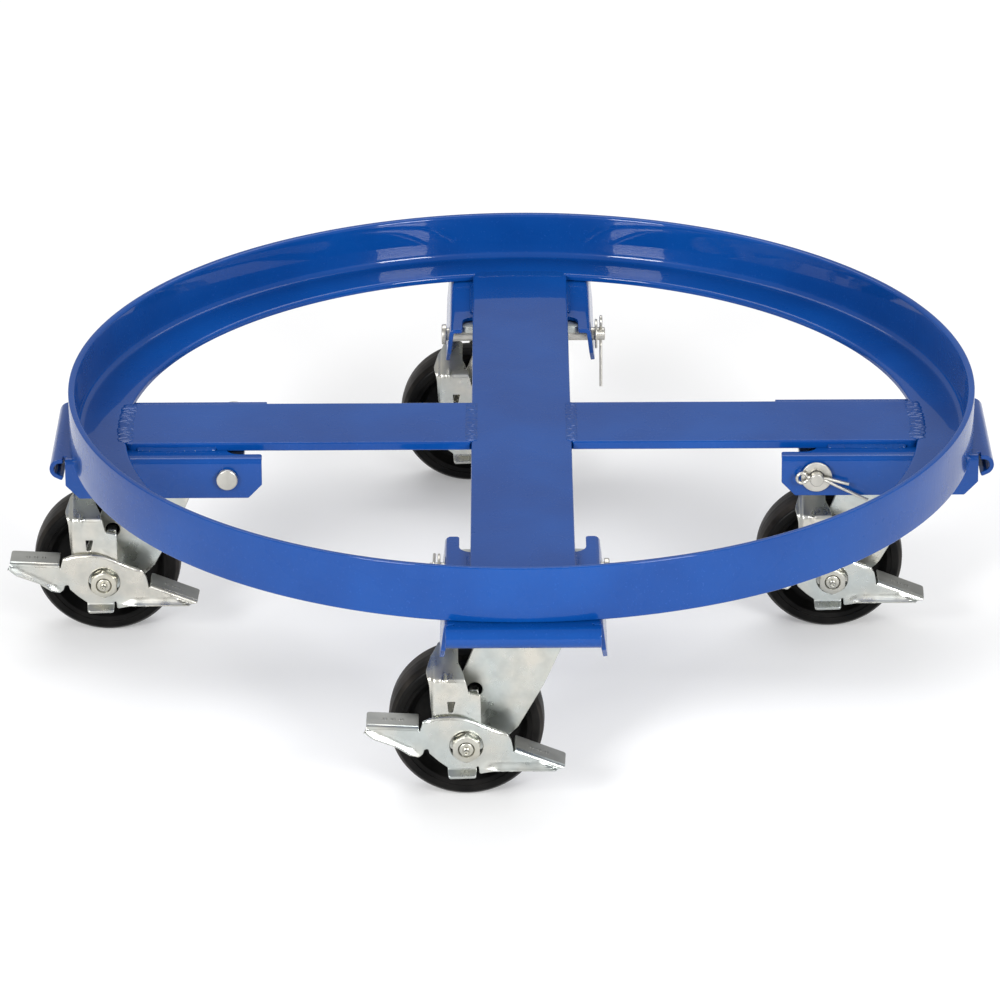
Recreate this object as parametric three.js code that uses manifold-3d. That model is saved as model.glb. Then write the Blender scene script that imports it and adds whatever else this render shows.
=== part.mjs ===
// Drum dolly: a rolled steel angle ring with a flat-bar cross, four folded
// brackets under the ends of the cross, and four swivel casters with total-lock
// brakes. Each caster plate hooks into the curled end of its bracket and is held
// up at the other edge by a clevis pin with a washer and a split cotter.
// Millimetres. +Z is up, the origin is the middle of the cross top, where the
// drum stands, and the long arm runs along Y.

import * as THREE from "three";
import { mergeVertices } from "three/addons/utils/BufferGeometryUtils.js";
import Module from "manifold-3d";

const wasm = await Module();
wasm.setup();

// ---------------------------------------------------------------- dimensions

const GAP = 0.3;
const DEGREE = Math.PI / 180;
const MARGIN = 2; // how far a cutting solid reaches past what it cuts

// ring: equal-leg angle rolled with its upright leg outside
const RING_RADIUS = 309.5;
const ANGLE_LEG = 38.1;
const STEEL = 4.76;
const RING_TOP = ANGLE_LEG - STEEL;
const FLANGE_RADIUS = RING_RADIUS - ANGLE_LEG;
const ROOT_FILLET = 5;
const TOE_RADIUS = 1.6;
const RING_STEPS = 84;

// cross
const ARM_WIDTH = 69.85;
const ARM_END_RADIUS = FLANGE_RADIUS - GAP;
const ARM_END_STEPS = 6;

// brackets: distances are measured outward from the centre of the ring
const SHEET = 3;
const BRACKET_HALF = 50.8;
const BRACKET_INNER = 176.5;
const BRACKET_FLANGE_END = 310;
const BRACKET_SPLAY = 7 * DEGREE;
const BRACKET_TOP = -STEEL - GAP;
const BRACKET_DEPTH = 25.8;
const BEND_RADIUS = 5;
const BEND_STEPS = 2;
const CORNER_CUT = 9.3;
const NOTCH_HALF = 41.5;
const NOTCH_END = 201;
const NOTCH_CORNER = 9;
const CURL_HALF = 48.8;
const CURL_CENTRE = 313.5;
const CURL_RADIUS = 6;
const CURL_TURN = 155 * DEGREE;
const CURL_STEPS = 7;
const CURL_TAIL = 4.5;
const NECK_HALF = 44;
const NECK_END = 311.5;

// caster plate
const CASTER_RADIUS = 250;
const PLATE_TOP = BRACKET_TOP - SHEET - GAP;
const PLATE_LENGTH = 122;
const PLATE_WIDTH = 90;
const PLATE_CORNER = 8;
const BOLT_SLOT_OUT = 38;
const BOLT_SLOT_SIDE = 32;
const BOLT_SLOT_HALF = 4.4;
const BOLT_SLOT_LENGTH = 5;
const PLATE_BOTTOM = PLATE_TOP - STEEL;

// clevis pin, washer and cotter
const PIN_OUT = 200;
const PIN_RADIUS = 4.76;
const PIN_HEIGHT = PLATE_BOTTOM - PIN_RADIUS - 0.35;
const PIN_HEAD_RADIUS = 7.3;
const PIN_HEAD_START = 53.3;
const PIN_HEAD_THICK = 3.4;
const PIN_END = 61.2;
const PIN_CHAMFER = 1;
const PIN_HOLE = 5.2;
const WASHER_RADIUS = 9.6;
const WASHER_START = 53.9;
const WASHER_THICK = 1.7;
const COTTER_AT = 58.2;
const COTTER_WIRE = 0.9;
const COTTER_SPREAD = 0.75;
const COTTER_HOLE = 2.1;
const COTTER_EYE = 3.6;
const SMALL_STEPS = 10;
const WIRE_SIDES = 6;

// caster
const CASTER_HEIGHT = 142.9;
const LEAD = 37;
const WHEEL_RADIUS = 50.8;
const WHEEL_WIDTH = 31.75;
const AXLE_HEIGHT = PLATE_TOP - CASTER_HEIGHT + WHEEL_RADIUS;
const HUB_LENGTH = 35;
const HUB_RADIUS = 15;
const WEB_HALF = 7;
const RIM_INNER = 41;
const WHEEL_SHOULDER = 4.5;
const WHEEL_BORE = 8.4;
const BUSHING_RADIUS = 8;
const AXLE_RADIUS = 4.76;
const AXLE_HOLE = 5.1;
const WHEEL_STEPS = 32;
const ROUND_STEPS = 14;

const KINGPIN_RADIUS = 7;
const KINGPIN_HOLE = 7.35;
const KINGPIN_HEAD = 12.5;
const KINGPIN_HEAD_THICK = 7;
const RACE_TOP = PLATE_BOTTOM - GAP;
const RACE_BOTTOM = -21.7;
const RACE_STEPS = 20;
const RACE_OUTER = 36;
const RACE_INNER = 13;

const FORK_TOP = RACE_BOTTOM - GAP;
const FORK_THICK = 3.6;
const FORK_INSIDE = 18;
const FORK_OUTSIDE = FORK_INSIDE + FORK_THICK;
const FORK_BEND = 7;
const FORK_DISC = 31;
const LEG_END_RADIUS = 16;

const PEDAL_FACE = 43;
const PEDAL_THICK = 2.6;
const PEDAL_HOLE = 10.8;
const PEDAL_TAB_BACK = 22.3;
const LIP_WIDTH = 18;
const LIP_REACH = 7.5;
const LIP_MIDDLE = -2.6;
const LIP_HEIGHT = -14;
const NUT_COLLAR = 10.4;
const NUT_FLATS = 15.9;
const NUT_END = 45.4;
const FITTING_END = 50;
const BOLT_HEAD_RADIUS = 8.6;
const BOLT_HEAD_THICK = 6;

const ARM_FACE = 39.4;
const ARM_THICK = 2.5;
const ARM_LEAN = 10.5;
const ARM_BEND = 45;
const ARM_FOOT = 12;
const ARM_TOP = 64;

// ------------------------------------------------------------------ materials

function paint(name, color, roughness, metalness) {
  return new THREE.MeshStandardMaterial({ name, color, roughness, metalness });
}

const blueEnamel = paint("blue_enamel", 0x1d4fa0, 0.3, 0.1);
const zincPlate = paint("zinc_plate", 0xc4c8c4, 0.32, 0.9);
const pinSteel = paint("pin_steel", 0xc9c7c0, 0.35, 0.9);
const wheelBlack = paint("wheel_black", 0x1b1a19, 0.45, 0.0);
const bushingSteel = paint("bushing_steel", 0x9a9890, 0.4, 0.9);

// -------------------------------------------------------------------- helpers

function toSolid(geometry) {
  const bare = geometry.clone();
  bare.deleteAttribute("normal");
  bare.deleteAttribute("uv");
  const merged = mergeVertices(bare, 1e-4);
  return new wasm.Manifold(new wasm.Mesh({
    numProp: 3,
    vertProperties: new Float32Array(merged.attributes.position.array),
    triVerts: new Uint32Array(merged.index.array),
  }));
}

function toGeometry(solid) {
  const mesh = solid.getMesh();
  const indexed = new THREE.BufferGeometry();
  indexed.setAttribute("position", new THREE.BufferAttribute(mesh.vertProperties, 3));
  indexed.setIndex(new THREE.BufferAttribute(mesh.triVerts, 1));
  const geometry = indexed.toNonIndexed();
  geometry.computeVertexNormals();
  return geometry;
}

function outline(points) {
  return new THREE.Shape(points.map(([x, y]) => new THREE.Vector2(x, y)));
}

function prism(points, depth) {
  return new THREE.ExtrudeGeometry(outline(points), { depth, bevelEnabled: false, steps: 1 });
}

// An outline drawn as outward distance and height, given a width along Y.
function prismAcross(points, from, to) {
  const geometry = prism(points, to - from);
  geometry.rotateX(Math.PI / 2);
  geometry.translate(0, to, 0);
  return geometry;
}

// An outline drawn as (y, z), given a length along X.
function prismAlong(points, from, to) {
  const geometry = prism(points, to - from);
  geometry.rotateX(Math.PI / 2);
  geometry.rotateZ(Math.PI / 2);
  geometry.translate(from, 0, 0);
  return geometry;
}

// An outline drawn as (x, y), given a thickness along Z.
function slab(points, bottom, top) {
  const geometry = prism(points, top - bottom);
  geometry.translate(0, 0, bottom);
  return geometry;
}

function rod(radius, from, to, steps = ROUND_STEPS) {
  const geometry = new THREE.CylinderGeometry(radius, radius, to - from, steps);
  geometry.translate(0, (from + to) / 2, 0);
  return geometry;
}

function uprightRod(radius, bottom, top, steps = ROUND_STEPS) {
  const geometry = rod(radius, bottom, top, steps);
  geometry.rotateX(Math.PI / 2);
  return geometry;
}

function arc(centreX, centreY, radius, start, turn, steps) {
  const points = [];
  for (let i = 0; i <= steps; i += 1) {
    const angle = start + (turn * i) / steps;
    points.push([centreX + radius * Math.cos(angle), centreY + radius * Math.sin(angle)]);
  }
  return points;
}

// A closed profile of (radius, distance along the axis) spun about Y.
function spun(profile, steps) {
  const points = profile.map(([radius, along]) => new THREE.Vector2(radius, along));
  points.push(points[0].clone());
  return new THREE.LatheGeometry(points, steps);
}

function wire(points, radius, steps) {
  const path = new THREE.CatmullRomCurve3(points.map(([x, y, z]) => new THREE.Vector3(x, y, z)));
  const circle = new THREE.EllipseCurve(0, 0, radius, radius).getPoints(WIRE_SIDES);
  const section = new THREE.Shape(circle.slice(0, WIRE_SIDES));
  return new THREE.ExtrudeGeometry(section, { steps, extrudePath: path, bevelEnabled: false });
}

function addPart(group, name, geometry, material) {
  const mesh = new THREE.Mesh(geometry, material);
  mesh.name = name;
  group.add(mesh);
  return mesh;
}

// ----------------------------------------------------------------------- ring

function ringGeometry() {
  const wall = RING_RADIUS - STEEL;
  const toe = FLANGE_RADIUS + TOE_RADIUS;
  const profile = [
    [FLANGE_RADIUS, -STEEL],
    [RING_RADIUS, -STEEL],
    [RING_RADIUS, RING_TOP],
    [wall + TOE_RADIUS, RING_TOP],
    [wall, RING_TOP - TOE_RADIUS],
    ...arc(wall - ROOT_FILLET, ROOT_FILLET, ROOT_FILLET, 0, -Math.PI / 2, 3),
    [toe, 0],
    [FLANGE_RADIUS, -TOE_RADIUS],
  ];
  const geometry = spun(profile, RING_STEPS);
  geometry.rotateX(Math.PI / 2);
  return geometry;
}

// ---------------------------------------------------------------------- cross

function roundedEnd(sign) {
  const half = Math.asin(ARM_WIDTH / 2 / ARM_END_RADIUS);
  const start = sign > 0 ? Math.PI / 2 - half : -Math.PI / 2 - half;
  return arc(0, 0, ARM_END_RADIUS, start, 2 * half, ARM_END_STEPS);
}

function longArmGeometry() {
  return slab([...roundedEnd(1), ...roundedEnd(-1)], -STEEL, 0);
}

// The short arm points along +Y and stops at the side of the long arm.
function shortArmGeometry() {
  const inner = ARM_WIDTH / 2 + GAP;
  const points = [...roundedEnd(1), [-ARM_WIDTH / 2, inner], [ARM_WIDTH / 2, inner]];
  return slab(points, -STEEL, 0);
}

// ------------------------------------------------------------------- brackets

// Folded channel section seen along the arm: web on top, sides splayed outward.
function channelSection() {
  const turn = Math.PI / 2 - BRACKET_SPLAY;
  const centre = BRACKET_HALF - BEND_RADIUS;
  const level = BRACKET_TOP - BEND_RADIUS;
  const inside = BEND_RADIUS - SHEET;
  const reach = BRACKET_DEPTH / Math.cos(BRACKET_SPLAY);
  const outer = arc(centre, level, BEND_RADIUS, Math.PI / 2, -turn, BEND_STEPS);
  const inner = arc(centre, level, inside, Math.PI / 2 - turn, turn, BEND_STEPS);
  const fall = [Math.sin(BRACKET_SPLAY), -Math.cos(BRACKET_SPLAY)];
  const drop = reach - BEND_RADIUS;
  const outerEnd = outer[outer.length - 1];
  const right = [
    ...outer,
    [outerEnd[0] + fall[0] * drop, outerEnd[1] + fall[1] * drop],
    [inner[0][0] + fall[0] * drop, inner[0][1] + fall[1] * drop],
    ...inner,
  ];
  const left = right.map(([y, z]) => [-y, z]).reverse();
  return [...right, ...left];
}

// Web end rolled down and back under, seen from the side.
function curlSection() {
  const level = BRACKET_TOP - CURL_RADIUS;
  const inside = CURL_RADIUS - SHEET;
  const outer = arc(CURL_CENTRE, level, CURL_RADIUS, Math.PI / 2, -CURL_TURN, CURL_STEPS);
  const inner = arc(CURL_CENTRE, level, inside, Math.PI / 2 - CURL_TURN, CURL_TURN, CURL_STEPS);
  const end = Math.PI / 2 - CURL_TURN;
  const along = [Math.sin(end) * CURL_TAIL, -Math.cos(end) * CURL_TAIL];
  const outerEnd = outer[outer.length - 1];
  const root = BRACKET_FLANGE_END - SHEET;
  return [
    [root, BRACKET_TOP],
    ...outer,
    [outerEnd[0] + along[0], outerEnd[1] + along[1]],
    [inner[0][0] + along[0], inner[0][1] + along[1]],
    ...inner,
    [root, BRACKET_TOP - SHEET],
  ];
}

function notchOutline() {
  const start = BRACKET_INNER - MARGIN;
  const corner = NOTCH_END - NOTCH_CORNER;
  const side = NOTCH_HALF - NOTCH_CORNER;
  return [
    [start, -NOTCH_HALF],
    ...arc(corner, -side, NOTCH_CORNER, -Math.PI / 2, Math.PI / 2, 4),
    ...arc(corner, side, NOTCH_CORNER, 0, Math.PI / 2, 4),
    [start, NOTCH_HALF],
  ];
}

function bracketGeometry() {
  let body = toSolid(prismAlong(channelSection(), BRACKET_INNER, BRACKET_FLANGE_END));
  body = body.subtract(toSolid(slab(notchOutline(), BRACKET_TOP - SHEET - MARGIN, BRACKET_TOP + MARGIN)));
  const low = BRACKET_TOP - BRACKET_DEPTH - MARGIN;
  const wide = BRACKET_HALF + 10;
  const cut = CORNER_CUT + MARGIN;
  for (const [at, side] of [[BRACKET_INNER, 1], [BRACKET_FLANGE_END, -1]]) {
    const before = at - side * MARGIN;
    const points = [[before, low], [at + side * cut, low], [before, low + cut + MARGIN]];
    const ordered = side > 0 ? points : points.reverse();
    body = body.subtract(toSolid(prismAcross(ordered, -wide, wide)));
  }
  let curl = toSolid(prismAcross(curlSection(), -CURL_HALF, CURL_HALF));
  for (const side of [-1, 1]) {
    const slit = new THREE.BoxGeometry(NECK_END - BRACKET_FLANGE_END, wide, BRACKET_DEPTH);
    slit.translate((BRACKET_FLANGE_END + NECK_END) / 2, side * (NECK_HALF + wide / 2), BRACKET_TOP);
    curl = curl.subtract(toSolid(slit));
  }
  body = body.add(curl);
  const hole = rod(PIN_HOLE, -wide, wide);
  hole.translate(PIN_OUT, 0, PIN_HEIGHT);
  return toGeometry(body.subtract(toSolid(hole)));
}

// ---------------------------------------------------- pin, washer and cotter

function pinGeometry() {
  const headEnd = PIN_HEAD_START + PIN_HEAD_THICK;
  const profile = [
    [0, -PIN_END],
    [PIN_RADIUS - PIN_CHAMFER, -PIN_END],
    [PIN_RADIUS, -PIN_END + PIN_CHAMFER],
    [PIN_RADIUS, PIN_HEAD_START],
    [PIN_HEAD_RADIUS, PIN_HEAD_START],
    [PIN_HEAD_RADIUS, headEnd - PIN_CHAMFER],
    [PIN_HEAD_RADIUS - PIN_CHAMFER, headEnd],
    [0, headEnd],
  ];
  const points = profile.map(([radius, along]) => new THREE.Vector2(radius, along));
  const hole = rod(COTTER_HOLE, -PIN_RADIUS - MARGIN, PIN_RADIUS + MARGIN, SMALL_STEPS);
  hole.rotateZ(Math.PI / 2);
  hole.translate(0, -COTTER_AT, 0);
  const body = toSolid(new THREE.LatheGeometry(points, ROUND_STEPS));
  return toGeometry(body.subtract(toSolid(hole)));
}

function washerGeometry() {
  const back = -WASHER_START;
  const face = back - WASHER_THICK;
  const profile = [[PIN_HOLE, face], [WASHER_RADIUS, face], [WASHER_RADIUS, back], [PIN_HOLE, back]];
  return spun(profile, ROUND_STEPS);
}

// The cotter lies along X with its eye towards the middle of the dolly.
function cotterGeometry() {
  const eye = -PIN_RADIUS - COTTER_EYE - 1.6;
  const neck = -PIN_RADIUS - 0.2;
  const out = PIN_RADIUS + 0.4;
  const loop = [];
  for (let i = 0; i <= 8; i += 1) {
    const angle = (35 + (290 * i) / 8) * DEGREE;
    loop.push([eye + COTTER_EYE * Math.cos(angle), -COTTER_AT, COTTER_EYE * Math.sin(angle)]);
  }
  const upper = [
    [22, -COTTER_AT, -2.6],
    [12, -COTTER_AT, -0.2],
    [out, -COTTER_AT, COTTER_SPREAD],
    [neck, -COTTER_AT, COTTER_SPREAD],
  ];
  const lower = [
    [neck, -COTTER_AT, -COTTER_SPREAD],
    [out, -COTTER_AT, -COTTER_SPREAD],
    [13, -COTTER_AT, -3.8],
    [31, -COTTER_AT, -11.2],
  ];
  const first = toSolid(wire([...upper, ...loop.slice(0, 5)], COTTER_WIRE, SMALL_STEPS));
  const second = toSolid(wire([...loop.slice(4), ...lower], COTTER_WIRE, SMALL_STEPS));
  return toGeometry(first.add(second));
}

// --------------------------------------------------------------------- caster

function plateGeometry() {
  const long = PLATE_LENGTH / 2 - PLATE_CORNER;
  const side = PLATE_WIDTH / 2 - PLATE_CORNER;
  const quarter = Math.PI / 2;
  const points = [
    ...arc(long, side, PLATE_CORNER, 0, quarter, 3),
    ...arc(-long, side, PLATE_CORNER, quarter, quarter, 3),
    ...arc(-long, -side, PLATE_CORNER, 2 * quarter, quarter, 3),
    ...arc(long, -side, PLATE_CORNER, 3 * quarter, quarter, 3),
  ];
  const shape = outline(points);
  shape.holes.push(new THREE.Path().absarc(0, 0, KINGPIN_HOLE, 0, 2 * Math.PI));
  for (const x of [-BOLT_SLOT_OUT, BOLT_SLOT_OUT]) {
    for (const y of [-BOLT_SLOT_SIDE, BOLT_SLOT_SIDE]) {
      const slot = [
        ...arc(x, y + BOLT_SLOT_LENGTH / 2, BOLT_SLOT_HALF, 0, Math.PI, 3),
        ...arc(x, y - BOLT_SLOT_LENGTH / 2, BOLT_SLOT_HALF, Math.PI, Math.PI, 3),
      ];
      shape.holes.push(new THREE.Path(outline(slot).getPoints()));
    }
  }
  const settings = { depth: STEEL, bevelEnabled: false, curveSegments: ROUND_STEPS };
  const geometry = new THREE.ExtrudeGeometry(shape, settings);
  geometry.translate(0, 0, PLATE_BOTTOM);
  return geometry;
}

function uprightSpun(profile, steps) {
  const geometry = spun(profile, steps);
  geometry.rotateX(Math.PI / 2);
  return geometry;
}

function raceGeometry() {
  const profile = [
    [RACE_INNER, RACE_BOTTOM + 2],
    [RACE_OUTER - 6, RACE_BOTTOM],
    [RACE_OUTER - 1, RACE_BOTTOM + 0.6],
    [RACE_OUTER, RACE_BOTTOM + 2.4],
    [RACE_OUTER - 1, RACE_TOP - 1.6],
    [RACE_OUTER - 5, RACE_TOP],
    [RACE_INNER, RACE_TOP],
  ];
  return uprightSpun(profile, RACE_STEPS);
}

function kingpinGeometry() {
  const underside = FORK_TOP - FORK_THICK - GAP;
  const bottom = underside - KINGPIN_HEAD_THICK;
  const top = PLATE_TOP - GAP;
  const points = [
    [0, bottom],
    [KINGPIN_RADIUS, bottom],
    [KINGPIN_HEAD - 1, bottom + 2.5],
    [KINGPIN_HEAD, underside],
    [KINGPIN_RADIUS, underside],
    [KINGPIN_RADIUS, top],
    [0, top],
  ].map(([radius, along]) => new THREE.Vector2(radius, along));
  const geometry = new THREE.LatheGeometry(points, ROUND_STEPS);
  geometry.rotateX(Math.PI / 2);
  return geometry;
}

// Side view of the fork about the axle: x towards the kingpin, y up.
function forkSide() {
  const top = FORK_TOP - AXLE_HEIGHT;
  return [
    [60.5, top],
    [60, 62],
    [47.5, 34],
    [30.7, 3],
    [20, -9],
    ...arc(0, 0, LEG_END_RADIUS, -50 * DEGREE, -120 * DEGREE, 5),
    [-13.5, 16],
    [-1.6, 44],
    [6, 62],
    [7.5, top],
  ];
}

function forkSection() {
  const top = FORK_TOP;
  const centre = FORK_OUTSIDE - FORK_BEND;
  const inside = FORK_BEND - FORK_THICK;
  const quarter = Math.PI / 2;
  const bottom = AXLE_HEIGHT - LEG_END_RADIUS - MARGIN;
  const right = [
    ...arc(centre, top - FORK_BEND, FORK_BEND, quarter, -quarter, 3),
    [FORK_OUTSIDE, bottom],
    [FORK_INSIDE, bottom],
    ...arc(centre, top - FORK_BEND, inside, 0, quarter, 3),
  ];
  const left = right.map(([y, z]) => [-y, z]).reverse();
  return [...right, ...left];
}

function forkGeometry() {
  let body = toSolid(prismAlong(forkSection(), -2 * LEAD, 2 * LEAD));
  const wide = FORK_OUTSIDE + MARGIN;
  const side = prismAcross(forkSide(), -wide, wide);
  side.translate(-LEAD, 0, AXLE_HEIGHT);
  body = body.intersect(toSolid(side));
  body = body.add(toSolid(uprightRod(FORK_DISC, FORK_TOP - FORK_THICK, FORK_TOP, RACE_STEPS)));
  const underside = FORK_TOP - FORK_THICK - MARGIN;
  body = body.subtract(toSolid(uprightRod(KINGPIN_HOLE, underside, FORK_TOP + MARGIN)));
  const axleHole = rod(AXLE_HOLE, -wide, wide);
  axleHole.translate(-LEAD, 0, AXLE_HEIGHT);
  return toGeometry(body.subtract(toSolid(axleHole)));
}

// Wheel, bushing, axle and nut are spun about Y with the axle at the origin.
function wheelGeometry() {
  const hub = HUB_LENGTH / 2 - GAP;
  const half = WHEEL_WIDTH / 2;
  const near = [
    [WHEEL_BORE, hub],
    [HUB_RADIUS, hub],
    [HUB_RADIUS + 2, WEB_HALF],
    [RIM_INNER - 4, WEB_HALF],
    [RIM_INNER, half],
    [RIM_INNER + 6, half],
    [WHEEL_RADIUS, half - WHEEL_SHOULDER],
  ];
  const far = near.map(([radius, along]) => [radius, -along]);
  return spun([...far, ...near.reverse()], WHEEL_STEPS);
}

function bushingGeometry() {
  const half = HUB_LENGTH / 2;
  const profile = [[AXLE_HOLE, -half], [BUSHING_RADIUS, -half], [BUSHING_RADIUS, half], [AXLE_HOLE, half]];
  return spun(profile, ROUND_STEPS);
}

function axleGeometry() {
  const headStart = FORK_OUTSIDE + GAP;
  const head = rod(BOLT_HEAD_RADIUS, headStart, headStart + BOLT_HEAD_THICK, 6);
  const profile = [
    [0, -FITTING_END],
    [1.4, -FITTING_END],
    [2.3, -FITTING_END + 0.9],
    [1.5, -FITTING_END + 2],
    [3, -FITTING_END + 3],
    [3, -NUT_END + 0.4],
    [AXLE_RADIUS, -NUT_END + 0.4],
    [AXLE_RADIUS, headStart + BOLT_HEAD_THICK / 2],
    [0, headStart + BOLT_HEAD_THICK / 2],
  ].map(([radius, along]) => new THREE.Vector2(radius, along));
  const shank = toSolid(new THREE.LatheGeometry(profile, 12));
  return toGeometry(shank.add(toSolid(head)));
}

function nutGeometry() {
  const collarStart = FORK_OUTSIDE + GAP;
  const collarEnd = PEDAL_FACE - PEDAL_THICK + 0.7;
  const corner = NUT_FLATS / Math.sqrt(3);
  const collar = toSolid(rod(NUT_COLLAR, -collarEnd, -collarStart));
  const hex = rod(corner, -NUT_END, -collarStart, 6);
  const crown = spun([
    [1, -NUT_END],
    [NUT_FLATS / 2 - GAP, -NUT_END],
    [corner + GAP, -NUT_END + 1.4],
    [corner + GAP, -collarStart],
    [1, -collarStart],
  ], 18);
  const bore = toSolid(rod(AXLE_HOLE, -NUT_END - MARGIN, 0));
  const body = toSolid(hex).intersect(toSolid(crown)).add(collar);
  return toGeometry(body.subtract(bore));
}

// Pedal plate face, drawn from the axle: x towards the kingpin, y up.
const PEDAL_OUTLINE = [
  [60, -15.5],
  [59.5, -13.2],
  [33.8, -3],
  [31, 3.5],
  [29, 7.5],
  [17, 12.2],
  [7.3, 16.8],
  [0, 19.8],
  [-8, 21],
  [-17, 20.5],
  [-25, 19.4],
  [-31, 17],
  [-34, 13.6],
  [-64, 15.2],
  [-64.6, 10],
  [-59.5, 6.6],
  [-44, 1.5],
  [-30.5, -7],
  [-28, -5.4],
  [-27, -2.8],
  [-25.1, -1.6],
  [-23.6, -3.2],
  [-23.4, -5.7],
  [-17.7, -11],
  [-12, -15.6],
  [6.8, -14.6],
  [8, -19.8],
  [17, -16.6],
  [27, -15.9],
  [45, -16.2],
];

function footTab(start, end) {
  const length = Math.hypot(end[0] - start[0], end[1] - start[1]);
  const tilt = Math.atan2(end[1] - start[1], end[0] - start[0]);
  const depth = PEDAL_FACE - PEDAL_TAB_BACK;
  const tab = new THREE.BoxGeometry(length, depth, PEDAL_THICK);
  tab.translate(length / 2, -PEDAL_FACE + depth / 2, -PEDAL_THICK / 2);
  tab.rotateY(-tilt);
  tab.translate(start[0], 0, start[1]);
  return toSolid(tab);
}

function pedalGeometry() {
  const inner = -PEDAL_FACE + PEDAL_THICK;
  const outer = -PEDAL_FACE;
  let body = toSolid(prismAcross(PEDAL_OUTLINE, outer, inner));
  body = body.add(footTab([34.4, -3.2], [60.2, -13.5]));
  body = body.add(footTab([-64.2, 15.2], [-34.4, 13.6]));
  const lip = new THREE.BoxGeometry(LIP_WIDTH, LIP_REACH, PEDAL_THICK);
  lip.translate(LIP_MIDDLE, inner - LIP_REACH / 2, LIP_HEIGHT);
  body = body.add(toSolid(lip));
  const hole = rod(PEDAL_HOLE, outer - MARGIN, inner + MARGIN, 18);
  return toGeometry(body.subtract(toSolid(hole)));
}

// Brake arm: a pressed strip that stands behind the pedal and leans in over the
// fork leg, drawn as distance outward from the wheel and height over the axle.
function brakeArmGeometry() {
  const face = -ARM_FACE;
  const back = face + ARM_THICK;
  const lean = [
    [face, ARM_FOOT],
    [back, ARM_FOOT],
    [back, ARM_BEND],
    [back + ARM_LEAN, ARM_BEND + 12],
    [back + ARM_LEAN, ARM_TOP],
    [face + ARM_LEAN, ARM_TOP],
    [face + ARM_LEAN, ARM_BEND + 13.2],
    [face, ARM_BEND + 1.2],
  ];
  const silhouette = [
    [9, ARM_FOOT],
    [9, 36],
    [-1, 40.5],
    [-5, 46],
    [-5, ARM_TOP + MARGIN],
    [-26, ARM_TOP + MARGIN],
    [-26, 44],
    [-22.5, 22],
    [-22.5, 14.5],
    [-17, ARM_FOOT],
  ];
  const window = [[-8.5, 22], [-6.8, 30], [-12, 30], [-12, 22]];
  const slot = [[9.2, 30], [9.2, 34.5], [2, 35.5], [2, 30]];
  const near = face - MARGIN;
  let body = toSolid(prismAlong(lean, -26 - MARGIN, 9 + MARGIN));
  body = body.intersect(toSolid(prismAcross(silhouette, near, 0)));
  body = body.subtract(toSolid(prismAcross(window, near, 0)));
  return toGeometry(body.subtract(toSolid(prismAcross(slot, near, 0))));
}

// ------------------------------------------------------------------- assembly

const dolly = new THREE.Group();
dolly.name = "drum_dolly";

const frame = new THREE.Group();
frame.name = "frame";
dolly.add(frame);
addPart(frame, "ring", ringGeometry(), blueEnamel);
addPart(frame, "long_arm", longArmGeometry(), blueEnamel);
const shortArm = shortArmGeometry();
addPart(frame, "left_arm", shortArm, blueEnamel).rotation.z = Math.PI / 2;
addPart(frame, "right_arm", shortArm, blueEnamel).rotation.z = -Math.PI / 2;

const shared = {
  bracket: bracketGeometry(),
  pin: pinGeometry(),
  washer: washerGeometry(),
  cotter: cotterGeometry(),
  plate: plateGeometry(),
  race: raceGeometry(),
  kingpin: kingpinGeometry(),
  fork: forkGeometry(),
  wheel: wheelGeometry(),
  bushing: bushingGeometry(),
  axle: axleGeometry(),
  nut: nutGeometry(),
  pedal: pedalGeometry(),
  brakeArm: brakeArmGeometry(),
};

// Each corner: its name, the way it points, and how its cotter lies.
const CORNERS = [
  ["right", 0, 4 * DEGREE],
  ["rear", 90 * DEGREE, 84 * DEGREE],
  ["left", 180 * DEGREE, -12 * DEGREE],
  ["front", 270 * DEGREE, 150 * DEGREE],
];

for (const [corner, heading, lie] of CORNERS) {
  const arm = new THREE.Group();
  arm.name = `${corner}_mounting`;
  arm.rotation.z = heading;
  dolly.add(arm);
  addPart(arm, `${corner}_bracket`, shared.bracket, blueEnamel);
  addPart(arm, `${corner}_caster_plate`, shared.plate, zincPlate).position.x = CASTER_RADIUS;

  const pin = new THREE.Group();
  pin.name = `${corner}_pin_set`;
  pin.position.set(PIN_OUT, 0, PIN_HEIGHT);
  pin.rotation.y = lie;
  arm.add(pin);
  addPart(pin, `${corner}_clevis_pin`, shared.pin, pinSteel);
  addPart(pin, `${corner}_washer`, shared.washer, pinSteel);
  addPart(pin, `${corner}_cotter`, shared.cotter, pinSteel);

  const caster = new THREE.Group();
  caster.name = `${corner}_caster`;
  caster.position.set(CASTER_RADIUS * Math.cos(heading), CASTER_RADIUS * Math.sin(heading), 0);
  dolly.add(caster);
  addPart(caster, `${corner}_kingpin`, shared.kingpin, zincPlate);
  addPart(caster, `${corner}_ball_race`, shared.race, zincPlate);
  addPart(caster, `${corner}_fork`, shared.fork, zincPlate);

  const running = new THREE.Group();
  running.name = `${corner}_running_gear`;
  running.position.set(-LEAD, 0, AXLE_HEIGHT);
  caster.add(running);
  addPart(running, `${corner}_wheel`, shared.wheel, wheelBlack);
  addPart(running, `${corner}_wheel_bushing`, shared.bushing, bushingSteel);
  addPart(running, `${corner}_axle`, shared.axle, zincPlate);
  addPart(running, `${corner}_axle_nut`, shared.nut, zincPlate);
  addPart(running, `${corner}_brake_pedal`, shared.pedal, zincPlate);
  addPart(running, `${corner}_brake_arm`, shared.brakeArm, zincPlate);
}

export default dolly;
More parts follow.
